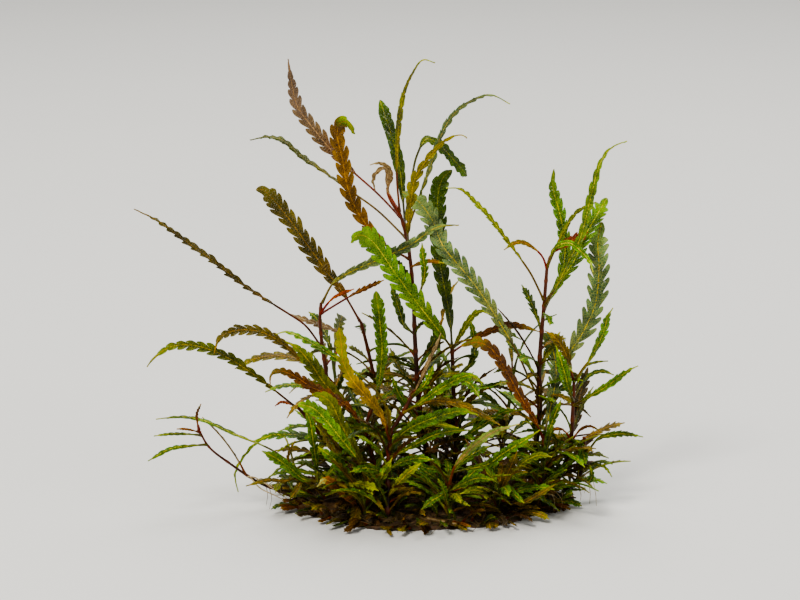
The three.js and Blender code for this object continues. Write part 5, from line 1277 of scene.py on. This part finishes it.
def leaf_material(key):
    """A leaf finish: soft blade colours, midrib, side veins, a net of fine veins and specks."""
    if key in MATERIALS:
        return MATERIALS[key]
    _, inner, edge, midrib, tip, petiole = (LOOKS[key][0], *map(linear, LOOKS[key][1:]))
    material, maker, surface = shader("leaf " + key.replace("_", " "))
    place = object_place(maker)
    uv = maker.node("ShaderNodeSeparateXYZ", None, {0: maker.node("ShaderNodeUVMap").outputs[0]})
    along = carried_value(maker, "along")
    shade = carried_value(maker, "shade")
    apart = maker.math("ABSOLUTE", carried_value(maker, "rib"))
    out = maker.math("ABSOLUTE", maker.math("MULTIPLY_ADD", uv.outputs["Y"], 2.0, -1.0))

    patches = cloud(maker, place, PATCH_SCALE, 4.0, 0.6)
    grains = cloud(maker, place, GRAIN_SCALE, 2.0, 0.5)
    wander = maker.math("ADD", out, maker.math("MULTIPLY", maker.math("SUBTRACT", patches, 0.5), 0.9))
    paint = mixed(maker, maker.ramp(wander, 0.25, 1.0), inner, edge)
    low_down = maker.ramp(along, 0.5, 0.0, 0.0, 0.6)
    low_patches = maker.math("MULTIPLY", low_down, maker.ramp(patches, 0.4, 0.6))
    paint = mixed(maker, low_patches, paint, petiole)
    near_tip = maker.ramp(along, *OWN_TIP_COLOUR.get(key, TIP_COLOUR), 0.0, 0.9)
    paint = mixed(maker, near_tip, paint, tip)

    cells = maker.node(
        "ShaderNodeTexVoronoi", {"feature": "DISTANCE_TO_EDGE"}, {"Vector": place, "Scale": NET_SCALE}
    ).outputs["Distance"]
    net = maker.ramp(cells, 0.15, 0.03)
    phase = maker.math("FRACT", uv.outputs["X"])
    off = maker.math("ABSOLUTE", maker.math("SUBTRACT", phase, 0.5))
    bent = maker.math("ADD", off, maker.math("MULTIPLY", maker.math("SUBTRACT", grains, 0.5), 0.03))
    side = maker.math("MULTIPLY", maker.ramp(bent, 0.06, 0.015), maker.ramp(out, 1.0, 0.35))
    twin = maker.math("ABSOLUTE", maker.math("SUBTRACT", off, 0.25))
    minor = maker.math("MULTIPLY", maker.ramp(twin, 0.035, 0.008), maker.ramp(out, 0.85, 0.3, 0.0, 0.55))
    veins = maker.math("MAXIMUM", side, minor)
    on_blade = maker.ramp(along, 0.0, 0.04)
    pale = tuple(0.6 * e + 0.4 * m for e, m in zip(edge, midrib))
    paint = mixed(maker, maker.math("MULTIPLY", net, 0.55), paint, pale)
    blade_veins = maker.math("MULTIPLY", veins, on_blade)
    paint = mixed(maker, maker.math("MULTIPLY", blade_veins, 0.5), paint, pale)

    specks = maker.ramp(cloud(maker, place, SPECK_SCALE, 1.0), 0.66, 0.74, 0.0, 0.45)
    dull = tuple(value * 0.4 for value in inner)
    paint = mixed(maker, specks, paint, dull)
    bead = maker.ramp(grains, 0.4, 0.58, 0.15, 1.0)
    rib = maker.math("MULTIPLY", maker.ramp(apart, 0.32, 0.12), bead)
    paint = mixed(maker, maker.math("MULTIPLY", rib, on_blade), paint, midrib)
    paint = mixed(maker, maker.ramp(along, 0.05, -0.03), paint, petiole)

    tone = maker.math("MULTIPLY_ADD", shade, LIGHTER, DARKEST)
    depth = maker.math("MULTIPLY", tone, maker.ramp(patches, 0.3, 0.7, 0.44, 1.05))
    feeds = {"Color": paint, "Value": depth, "Saturation": 1.15}
    hue = maker.node("ShaderNodeHueSaturation", None, feeds)
    maker.feed(surface.inputs["Base Color"], hue.outputs[0])
    maker.feed(surface.inputs["Roughness"], maker.ramp(patches, 0.25, 0.75, 0.28, 0.5))
    surface.inputs["Specular IOR Level"].default_value = 0.3
    relief = maker.math("SUBTRACT", maker.ramp(cells, 0.0, 0.32), maker.math("MULTIPLY", veins, 0.9))
    relief = maker.math("ADD", relief, maker.math("MULTIPLY", patches, 0.8))
    bumped(maker, surface, relief, 0.7, 0.00028)
    MATERIALS[key] = material
    return material


def stem_material(name, old, young):
    """A stem finish: darker low down, paler rings at its nodes, fine lengthwise streaks."""
    if name in MATERIALS:
        return MATERIALS[name]
    material, maker, surface = shader(name)
    place = object_place(maker)
    stretched = maker.node("ShaderNodeMapping", None, {"Vector": place, "Scale": (1.0, 1.0, 0.12)})
    streaks = cloud(maker, stretched.outputs[0], 1500.0, 3.0)
    patches = cloud(maker, place, 160.0, 3.0)
    paint = mixed(maker, maker.ramp(carried_value(maker, "along"), 0.2, 1.0), tuple(old), tuple(young))
    paint = mixed(maker, maker.ramp(patches, 0.45, 0.75, 0.0, 0.5), paint, tuple(v * 0.35 for v in old))
    ringed = maker.math("MULTIPLY", carried_value(maker, "ring"), 0.5)
    paint = mixed(maker, ringed, paint, tuple(min(v * 2.1, 1.0) for v in young))
    paint = mixed(maker, maker.ramp(streaks, 0.5, 0.8, 0.0, 0.35), paint, tuple(young))
    maker.feed(surface.inputs["Base Color"], paint)
    maker.feed(surface.inputs["Roughness"], maker.ramp(patches, 0.3, 0.7, 0.32, 0.55))
    surface.inputs["Specular IOR Level"].default_value = 0.25
    relief = maker.math("ADD", streaks, maker.math("MULTIPLY", patches, 0.6))
    bumped(maker, surface, relief, 0.5, 0.0002)
    MATERIALS[name] = material
    return material


FILM_GREEN = "#4a5a1c"


def mat_material(name, deep, raised, scale):
    """A finish for the mat or its roots: blotches of two browns and a green film."""
    if name in MATERIALS:
        return MATERIALS[name]
    material, maker, surface = shader(name)
    place = object_place(maker)
    blotches = cloud(maker, place, scale, 5.0, 0.65)
    film = cloud(maker, place, scale * 0.3, 3.0)
    paint = mixed(maker, maker.ramp(blotches, 0.35, 0.7), tuple(deep), tuple(raised))
    paint = mixed(maker, maker.ramp(film, 0.5, 0.72, 0.0, 0.55), paint, linear(FILM_GREEN))
    maker.feed(surface.inputs["Base Color"], paint)
    maker.feed(surface.inputs["Roughness"], maker.ramp(blotches, 0.3, 0.7, 0.6, 0.9))
    bumped(maker, surface, blotches, 0.7, 0.0005)
    MATERIALS[name] = material
    return material


def finish_piece(shells, node):
    """Makes the gathered shells a piece that stands for a node of the solid model."""
    mesh = shells.mesh(node + "_fine")
    piece = bpy.data.objects.new(node + "_fine", mesh)
    bpy.context.scene.collection.objects.link(piece)
    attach(piece, "root")
    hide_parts(node)
    return piece


# Pieces.
# The turn from one small leaf to the next, in degrees.
GOLDEN = 137.5
# The share of bare petiole, the lobes a side and the cut of leaves that grow by rule.
LITTER_BLADE = (0.15, 4, 0.5)
SMALL_BLADE = (0.14, 6, 0.5)
ARCHED_BLADE = (0.12, 7, 0.5)
# The mound: its rings and the points on each, how far in the last ring is, the least height of
# its top, how rough and how ridged its top is and how ragged its edge.
MOUND_RINGS = 46
MOUND_SPOKES = 168
MOUND_INNER = 0.02
MOUND_LEAST = 0.35
MOUND_ROUGHNESS = 1.2
MOUND_RIDGES = 1.6
MOUND_RAGGED = 0.07
# How fast the finer layers of noise fade, and how much finer each is than the one before.
NOISE_FADE = 0.8
NOISE_STEP = 2.2
# A rhizome: points along its route and along its rod, how far it waves to the side and up, and
# how far apart its nodes are, the last in metres.
RHIZOME_POINTS = 15
RHIZOME_STEPS = 90
RHIZOME_WAVE = 2.0
RHIZOME_LIFT = 0.35
RHIZOME_NODES = 0.008
# How fine the blotches of the tangle and of the roots are.
TANGLE_GRAIN = 420.0
ROOT_GRAIN = 900.0
# The fibres on the mat: finish, how many a square metre, length and thickness for those set by
# the user, lean in radians, rise of their middle in metres, and seed.
FIBRES = (
    ("roots", 50000.0, 1.0, 1.0, 0.25, 0.0022, 11),
    ("roots", 22000.0, 1.9, 0.8, 0.3, 0.004, 12),
    ("tangle", 25000.0, 0.45, 3.4, 0.5, 0.001, 13),
)
# The small leaves on the mat and on its rim: how many there are, the least and most pitch, droop
# and length, the finishes, where the rim's stand for its radius, widths and turn to either side.
MAT_LEAVES = 215
RIM_LEAVES = 64
MAT_SPANS = ((20, 70), (30, 80), (11, 20))
RIM_SPANS = ((0, 30), (10, 50), (8, 14))
MAT_FINISHES = ("dead", "maroon", "olive", "green", "olive_green", "rust_green", "dark")
RIM_FINISHES = ("dead", "maroon", "rust", "olive", "dark", "rust_green", "yellow_brown")
RIM_PARTS = (0.86, 0.99)
LITTER_WIDTHS = (3.0, 4.8)
LITTER_TURN = 50
# No leaf's route on the mat comes closer to the cut than this, so that no lobe dips below it.
LITTER_RISE = 1.8


def mound_mesh():
    """The mat's mound: a lumpy top over a flat cut."""
    spokes = MOUND_SPOKES
    parts = [MAT_FOOT, *np.linspace(1, MOUND_INNER, MOUND_RINGS)]
    points = []
    for row, part in enumerate(parts):
        for k in range(spokes):
            angle = 2 * math.pi * k / spokes
            edge = mat_edge(angle)
            x = MAT_MIDDLE + (edge[0] - MAT_MIDDLE) * part
            y = edge[1] * part
            rough = noise.fractal(Vector((x, y, 3.0)) * 0.16, NOISE_FADE, NOISE_STEP, 4)
            ridges = abs(noise.noise(Vector((x, y, 9.0)) * 0.34))
            torn = abs(noise.fractal(Vector((x, y, 30.0)) * 0.2, NOISE_FADE, NOISE_STEP, 3))
            ragged = 1 - MOUND_RAGGED * torn * part ** 6
            top = mat_height(part, angle) + MOUND_ROUGHNESS * rough - MOUND_RIDGES * ridges
            z = 0.0 if row == 0 else max(top, MOUND_LEAST)
            points.append((x * ragged, y * ragged, z))
    faces = []
    for r in range(len(parts) - 1):
        for k in range(spokes):
            after = (k + 1) % spokes
            low, high = r * spokes, (r + 1) * spokes
            faces.append((low + k, low + after, high + after, high + k))
    faces.append(tuple(range(spokes))[::-1])
    faces.append(tuple(MOUND_RINGS * spokes + k for k in range(spokes)))
    mesh = bpy.data.meshes.new("mound")
    mesh.from_pydata((np.array(points) * MM).tolist(), [], faces)
    return mesh


def rhizome_points(start, end, bend):
    """A rhizome's route over the mound, from one angle of its rim to another."""
    a = mat_edge(math.radians(start)) * RHIZOME_REACH
    b = mat_edge(math.radians(end)) * RHIZOME_REACH
    aside = unit(np.array((-b[1], b[0])))
    points = []
    for t in np.linspace(0, 1, RHIZOME_POINTS):
        off = bend * math.sin(math.pi * t) + RHIZOME_WAVE * math.sin(9 * t + start)
        spot = a + (b - a) * t + aside * off
        height = mat_top(*spot) + RHIZOME_LIFT * math.sin(13 * t + end)
        points.append((spot[0], spot[1], max(height, RHIZOME_RADIUS + 0.5)))
    return Route(points).at(np.linspace(0, 1, RHIZOME_STEPS))


def build_mat():
    """The rhizome mat with its creeping rhizomes, fine roots and small leaves."""
    sizes = bpy.context.scene.clump_sizes
    colours = bpy.context.scene.clump_colours
    shells = Shells()
    tangle = mat_material("mat tangle", colours.mat, colours.rhizome, TANGLE_GRAIN)
    roots = mat_material("fine roots", colours.rhizome, colours.root, ROOT_GRAIN)
    woody = stem_material("rhizome", colours.rhizome, colours.root)
    mound = mound_mesh()
    shells.add_mesh(mound, tangle)
    rods, strewn = rod_tree(), strewn_tree()
    for number, run in enumerate(RHIZOMES):
        radius = RHIZOME_RADIUS * (1 if number < THICK_RHIZOMES else THIN_RHIZOME)
        rod(shells, rods, rhizome_points(*run), (radius, radius * 0.85), RHIZOME_NODES, 0.3, woody)
    for finish, density, longer, thicker, lean, rise, seed in FIBRES:
        material = {"roots": roots, "tangle": tangle}[finish]
        made = run_tree(
            strewn, mound, density=density, length=sizes.fibre_length * longer,
            thickness=sizes.fibre_thickness * thicker, lean=lean, rise=rise, seed=seed,
            material=material,
        )
        shells.add_mesh(made, material)
        bpy.data.meshes.remove(made)
    bpy.data.meshes.remove(mound)
    strew_litter(shells)
    finish_piece(shells, "rhizome_mat")


def strew_litter(shells):
    """Adds small living and dead leaves on the mat and around its rim."""
    draw = random.Random(7)
    for number in range(MAT_LEAVES + RIM_LEAVES):
        outer = number >= MAT_LEAVES
        angle = math.radians(GOLDEN) * number + draw.uniform(-0.3, 0.3)
        part = draw.uniform(*RIM_PARTS) if outer else (0.05 + 0.93 * number / MAT_LEAVES) ** 0.5
        x, y = mat_edge(angle) * part
        start = np.array((x, y, mat_top(x, y) - 0.3))
        bearing = math.degrees(angle) + draw.uniform(-80, 80) * (1.3 - part)
        width = draw.uniform(*LITTER_WIDTHS)
        leaf = blade(width, *LITTER_BLADE, draw.uniform(-LITTER_TURN, LITTER_TURN))
        pitch, droop, reach = (draw.uniform(*span) for span in (RIM_SPANS if outer else MAT_SPANS))
        points = arched_points(start, bearing, pitch, droop, reach)
        points = [lifted(point, LITTER_RISE) for point in points]
        finish = draw.choice(RIM_FINISHES if outer else MAT_FINISHES)
        grow_leaf(shells, leaf, points, SKYWARD, SMALL, finish, 500 + number)


def lifted(points, least):
    """A point or points, none of them lower than the least height."""
    points = np.array(points, float)
    points[..., 2] = np.maximum(points[..., 2], least)
    return points


# Small leaves and hanging roots on each stem, besides those that have a route of their own.
# Basal leaves stand from a share of a stem's length up to a height, but over no more than a
# share of it. Middle ones stand between two shares of it.
BASAL_LEAVES = 17
BASAL_COUNTS = {
    "runner_left": 4, "stem_behind_centre": 36, "stem_centre": 28, "stem_right_inner": 30,
    "stem_right_tall": 26, "stem_mid_left": 22, "stem_front": 22,
}
BASAL_HEIGHT = 66
BASAL_START = 0.02
MOST_BASAL = 0.6
BASAL_REACH = (18, 38)
BASAL_FINISHES = (
    "green", "bright", "olive_green", "olive", "dark", "green", "dark", "yellow_green", "rust_green",
    "maroon", "yellow_brown",
)
MIDDLE_LEAVES = 6
MIDDLE_REACH = (15, 28)
MIDDLE_FINISHES = ("dark", "green", "rust_green", "olive_green", "dark", "olive", "green")
MIDDLE_SPANS = {
    "stem_centre": (0.34, 0.75), "stem_right_tall": (0.42, 0.85), "stem_behind_centre": (0.5, 0.95),
    "stem_back_left": (0.5, 0.95), "stem_mid_left": (0.5, 0.95), "stem_right_inner": (0.5, 0.95),
    "stem_front": (0.5, 0.95),
}
# What is drawn for a small leaf: bearing and turn to either side, pitch, droop and width. Its
# route comes no closer to the cut than its least rise.
SMALL_BEARING = 25
SMALL_TURN = 30
SMALL_PITCH = (24, 78)
SMALL_DROOP = (20, 80)
SMALL_WIDTH = (3.8, 6.0)
SMALL_RISE = 1.5
# An arched leaf's turn to either side, and the finishes that arched leaves take in order.
ARCHED_TURN = 32
ARCHED_FINISHES = (
    "green", "olive_green", "dark", "olive", "rust_green", "green", "yellow_brown", "olive_green",
)
# Roots: how many run down to the mat from each stem and how many hang free, how far up the stem
# they start at most, their radii, how far apart their nodes are in metres, how much these swell,
# and points around a root. Long roots have radii and a least height of their own.
MAT_ROOTS = 3
FREE_ROOTS = {
    "stem_right_outer": 4, "stem_right_low": 5, "stem_right_tall": 4, "stem_right_inner": 3,
}
ROOTS_UP_TO = 45
ROOT_RADII = (0.24, 0.1)
ROOT_NODES = 0.02
ROOT_SWELLING = 0.1
ROOT_SIDES = 5
LONG_ROOT_RADII = (0.42, 0.2)
LONG_ROOT_LEAST = 0.6
# Long pale roots with a route of their own, in points as the viewpoint sees them.
LONG_ROOTS = {
    "runner_left": (
        ((-87, 13, -13), (-82, 12, -16), (-74, 7, -20), (-67, 2, -22)),
        ((-85, 12.5, -13), (-80, 7, -18), (-73, 3.5, -22), (-69, 1.5, -25)),
    ),
}
# How far apart the points along a stem's rod are, and how deep its foot stands in the mat.
ROD_STEP = 1.4
FOOT_DEPTH = 1.6


def grow_stem(stem, rods, shoot=False):
    """The shells of one stem, as a rod whose foot stands a little in the mat."""
    sizes = bpy.context.scene.clump_sizes
    colours = bpy.context.scene.clump_colours
    material = (
        stem_material("green shoot", colours.shoot, colours.shoot) if shoot
        else stem_material("red stem", colours.stem, colours.stem_young)
    )
    shells = Shells()
    line = stem.route.at(np.linspace(0, 1, max(24, int(stem.route.length / ROD_STEP))))
    points = np.vstack((line[0] - SKYWARD * FOOT_DEPTH, line))
    rod(shells, rods, points, stem.radii, sizes.node_spacing, sizes.node_swelling, material)
    return shells


def grow_small(shells, stem, count, seed, span, reaches, finishes):
    """Adds small leaves around a stem, between two places along it."""
    draw = random.Random(seed)
    for number in range(count):
        part = span[0] + (span[1] - span[0]) * number / count
        bearing = GOLDEN * number + draw.uniform(-SMALL_BEARING, SMALL_BEARING) + 40 * seed
        pitch, droop = draw.uniform(*SMALL_PITCH), draw.uniform(*SMALL_DROOP)
        reach, width = draw.uniform(*reaches), draw.uniform(*SMALL_WIDTH)
        points = arched_points(stem.route.at(part), bearing, pitch, droop, reach)
        short = SMALL_RISE - min(point[2] for point in points)
        if short > 0:
            # The leaf bends up along its length, so that its tip clears the cut.
            points = [point + SKYWARD * short * k / ARCH_STEPS for k, point in enumerate(points)]
        leaf = blade(width, *SMALL_BLADE, draw.uniform(-SMALL_TURN, SMALL_TURN))
        finish = draw.choice(finishes)
        grow_leaf(shells, leaf, points, SKYWARD, PLAIN, finish, seed * 100 + number)


def grow_basal(shells, stem, count, seed):
    """Adds small leaves around the lower part of a stem."""
    top = BASAL_START + min(MOST_BASAL, BASAL_HEIGHT / stem.route.length)
    grow_small(shells, stem, count, seed, (BASAL_START, top), BASAL_REACH, BASAL_FINISHES)


def grow_roots(shells, rods, stem, free, seed):
    """Adds fine roots from a stem's lower nodes: some run down to the mat, some hang free."""
    colours = bpy.context.scene.clump_colours
    brown = mat_material("fine roots", colours.rhizome, colours.root, ROOT_GRAIN)
    pale = mat_material("pale roots", colours.root, colours.root_pale, ROOT_GRAIN)
    draw = random.Random(seed + 5)
    middle = np.array((MAT_MIDDLE, 0.0, 0.0))
    for number in range(MAT_ROOTS + free):
        hangs = number >= MAT_ROOTS
        start = stem.route.at(draw.uniform(0.05, min(0.5, ROOTS_UP_TO / stem.route.length)))
        inward = math.atan2(*(middle - start)[1::-1])
        bearing = draw.uniform(-1.0, 0.6) if hangs else inward + draw.uniform(-1.2, 1.2)
        reach = draw.uniform(5, 11) if hangs else draw.uniform(4, 12)
        out = np.array((math.cos(bearing), math.sin(bearing), 0.0))
        end = start + out * reach
        if hangs:
            end[2] = max(start[2] - draw.uniform(8, 20), 1.5)
        else:
            end[2] = mat_top(end[0], end[1]) * 0.6
        knee = start + out * reach * 0.6 + SKYWARD * draw.uniform(0, 4)
        low = knee * 0.45 + end * 0.55 + out * draw.uniform(1, 3)
        points = Route([start, knee, low, end]).at(np.linspace(0, 1, 18))
        finish = pale if hangs else brown
        rod(shells, rods, points, ROOT_RADII, ROOT_NODES, ROOT_SWELLING, finish, ROOT_SIDES)


def grow_long_root(shells, rods, spots):
    """Adds a pale root along a route of its own."""
    colours = bpy.context.scene.clump_colours
    pale = mat_material("pale roots", colours.root, colours.root_pale, ROOT_GRAIN)
    points = Route([seen_point(spot) for spot in spots]).at(np.linspace(0, 1, 24))
    points = lifted(points, LONG_ROOT_LEAST)
    rod(shells, rods, points, LONG_ROOT_RADII, ROOT_NODES, ROOT_SWELLING, pale, ROOT_SIDES)


def grow_arched(shells, stem, leaf, seed):
    """Adds a leaf that arches away from its stem by rule."""
    part, bearing, pitch, droop, reach, width = leaf
    points = arched_points(stem.route.at(part), bearing, pitch, droop, reach)
    turn = ARCHED_TURN if seed % 2 else -ARCHED_TURN
    shape = blade(width * SHORT_WIDTH, *ARCHED_BLADE, turn)
    finish = ARCHED_FINISHES[seed % len(ARCHED_FINISHES)]
    grow_leaf(shells, shape, points, SKYWARD, PLAIN, finish, seed)


def build_stems():
    """Each stem or shoot with the short leaves that grow out of it."""
    rods = rod_tree()
    for order, name in enumerate(STEMS):
        stem = planted_stem(name)
        shells = grow_stem(stem, rods, name.startswith("shoot"))
        for number, row in enumerate(SHORT_LEAVES.get(name, ())):
            width, bare, lobes, cut, face, finish, path = row
            count = max(LEAST_LOBES, round(lobes * LOBE_SPLIT))
            leaf = blade(width * SHORT_WIDTH, bare, count, cut, face)
            points = from_stem(stem, [seen_point(spot) for spot in path], 0)
            grow_leaf(shells, leaf, points, -FORWARD, PLAIN, finish, 1000 * (order + 1) + number)
        for number, row in enumerate(ARCHED_LEAVES.get(name, ())):
            grow_arched(shells, stem, row, 30000 + 100 * order + 3 * number)
        grow_basal(shells, stem, BASAL_COUNTS.get(name, BASAL_LEAVES), order + 1)
        if name in MIDDLE_SPANS:
            span = MIDDLE_SPANS[name]
            grow_small(
                shells, stem, MIDDLE_LEAVES, order + 60, span, MIDDLE_REACH, MIDDLE_FINISHES
            )
        for spots in LONG_ROOTS.get(name, ()):
            grow_long_root(shells, rods, spots)
        grow_roots(shells, rods, stem, FREE_ROOTS.get(name, 0), order + 1)
        finish_piece(shells, name)


def build_leaves():
    """The long lobed leaves, one piece each."""
    for order, (name, on, width, bare, lobes, cut, face, finish, path) in enumerate(LEAVES):
        stem = planted_stem(on)
        ending = OWN_ENDINGS.get(name, ROUNDED if name in ROUND_TIPS else POINTED)
        leaf = blade(width * LONG_WIDTH, bare, round(lobes * LOBE_SPLIT), cut, face, ending)
        points = from_stem(stem, [seen_point(spot) for spot in path], LEAF_START)
        shells = Shells()
        grow_leaf(shells, leaf, points, -FORWARD, FINE, finish, 60000 + 10 * order)
        finish_piece(shells, name)


def build_back_shoots():
    """The leafy shoots behind the clump."""
    rods = rod_tree()
    for order, (name, plan) in enumerate(BACK_SHOOTS.items()):
        end = np.array(plan["top"], float)
        knee = (np.array((*plan["foot"], MAT_HEIGHT)) + end) / 2
        stem = Stem(plan["foot"], plan["radii"], [knee, end])
        shells = grow_stem(stem, rods, True)
        for number, row in enumerate(plan["leaves"]):
            grow_arched(shells, stem, row, 80000 + 100 * order + 3 * number)
        grow_basal(shells, stem, BASAL_LEAVES, order + 40)
        grow_roots(shells, rods, stem, 0, order + 40)
        finish_piece(shells, name)


# The stage: how far the floor reaches to each side, in metres, and the camera's film and reach.
FLOOR_REACH = 14.0
FILM_WIDTH = 36
FARTHEST = 60
# The lights: place, the spot that each points at, size, watts and tint; then the sky.
LIGHTS = {
    "key": ((-1.2, -1.9, 2.5), (0, 0, 0.1), (0.9, 0.9), 96, (1.0, 0.98, 0.93)),
    "fill": ((2.2, -1.5, 1.3), (0, 0, 0.1), (1.8, 1.4), 18, (0.95, 0.97, 1.0)),
    "top": ((0.3, 1.2, 2.6), (0, 0.4, 0.05), (2.0, 1.6), 66, (1.0, 1.0, 0.98)),
}
SKY_COLOUR = (0.9, 0.92, 0.95, 1)
SKY_STRENGTH = 0.3


def add_light(name, place, aim, size, watts, tint):
    """A soft area light that points at a spot, in metres."""
    lamp = bpy.data.lights.new(name, "AREA")
    lamp.shape = "RECTANGLE"
    lamp.size, lamp.size_y = size
    lamp.energy = watts
    lamp.color = tint
    light = bpy.data.objects.new(name, lamp)
    light.location = place
    light.rotation_euler = (Vector(aim) - Vector(place)).to_track_quat("-Z", "Y").to_euler()
    bpy.context.scene.collection.objects.link(light)


def build_stage():
    """The floor, the lights and the camera."""
    scene = bpy.context.scene
    colours = scene.clump_colours
    reach = FLOOR_REACH
    floor_mesh = bpy.data.meshes.new("floor")
    corners = [(-reach, -reach, 0), (reach, -reach, 0), (reach, reach, 0), (-reach, reach, 0)]
    floor_mesh.from_pydata(corners, [], [(0, 1, 2, 3)])
    floor = bpy.data.objects.new("floor", floor_mesh)
    scene.collection.objects.link(floor)
    material, maker, surface = shader("floor")
    veil = cloud(maker, object_place(maker), 3.0, 2.0)
    pale = tuple(colours.floor)
    maker.feed(surface.inputs["Base Color"], mixed(maker, veil, pale, tuple(v * 0.97 for v in pale)))
    surface.inputs["Roughness"].default_value = 0.7
    floor_mesh.materials.append(material)

    for name, light in LIGHTS.items():
        add_light(name, *light)
    world = bpy.data.worlds.new("studio")
    world.use_nodes = True
    sky = world.node_tree.nodes["Background"]
    sky.inputs["Color"].default_value = SKY_COLOUR
    sky.inputs["Strength"].default_value = SKY_STRENGTH
    scene.world = world
    scene.view_settings.look = "AgX - Medium High Contrast"

    camera = bpy.data.cameras.new("camera")
    camera.lens = CAMERA_LENS
    camera.sensor_width = FILM_WIDTH
    camera.clip_end = FARTHEST
    holder = bpy.data.objects.new("camera", camera)
    holder.location = Vector(EYE * MM)
    holder.rotation_euler = (math.pi / 2 - VIEW_TILT, 0, 0)
    scene.collection.objects.link(holder)
    scene.camera = holder


class CLUMP_OT_mat(bpy.types.Operator):
    """Grow the rhizome mat"""

    bl_idname = "clump.mat"
    bl_label = "Rhizome mat"

    def execute(self, context):
        build_mat()
        return {"FINISHED"}


class CLUMP_OT_stems(bpy.types.Operator):
    """Grow the stems, shoots and runner with their short leaves"""

    bl_idname = "clump.stems"
    bl_label = "Stems and short leaves"

    def execute(self, context):
        build_stems()
        return {"FINISHED"}


class CLUMP_OT_leaves(bpy.types.Operator):
    """Grow the long lobed leaves"""

    bl_idname = "clump.leaves"
    bl_label = "Long leaves"

    def execute(self, context):
        build_leaves()
        return {"FINISHED"}


class CLUMP_OT_back_shoots(bpy.types.Operator):
    """Grow the shoots behind the clump"""

    bl_idname = "clump.back_shoots"
    bl_label = "Back shoots"

    def execute(self, context):
        build_back_shoots()
        return {"FINISHED"}


class CLUMP_OT_stage(bpy.types.Operator):
    """Set up the floor, the lights and the camera"""

    bl_idname = "clump.stage"
    bl_label = "Stage"

    def execute(self, context):
        build_stage()
        return {"FINISHED"}


class CLUMP_PT_panel(bpy.types.Panel):
    """The clump's sizes, colours and steps"""

    bl_idname = "CLUMP_PT_panel"
    bl_label = "Clump"
    bl_space_type = "VIEW_3D"
    bl_region_type = "UI"
    bl_category = "Clump"

    def draw(self, context):
        for group in (context.scene.clump_sizes, context.scene.clump_colours):
            for key in group.__annotations__:
                self.layout.prop(group, key)
        for operator in STEPS:
            self.layout.operator(operator.bl_idname)


STEPS = (CLUMP_OT_mat, CLUMP_OT_stems, CLUMP_OT_leaves, CLUMP_OT_back_shoots, CLUMP_OT_stage)
CLASSES = (ClumpSizes, ClumpColours, *STEPS, CLUMP_PT_panel)


def register():
    """Adds the classes and the scene's settings."""
    for item in CLASSES:
        bpy.utils.register_class(item)
    bpy.types.Scene.clump_sizes = bpy.props.PointerProperty(type=ClumpSizes)
    bpy.types.Scene.clump_colours = bpy.props.PointerProperty(type=ClumpColours)


def unregister():
    """Takes the settings and the classes away again."""
    del bpy.types.Scene.clump_colours
    del bpy.types.Scene.clump_sizes
    for item in reversed(CLASSES):
        bpy.utils.unregister_class(item)


def main():
    """Builds every piece and the stage."""
    register()
    bpy.ops.clump.mat()
    bpy.ops.clump.stems()
    bpy.ops.clump.leaves()
    bpy.ops.clump.back_shoots()
    bpy.ops.clump.stage()


if __name__ == "__main__":
    main()
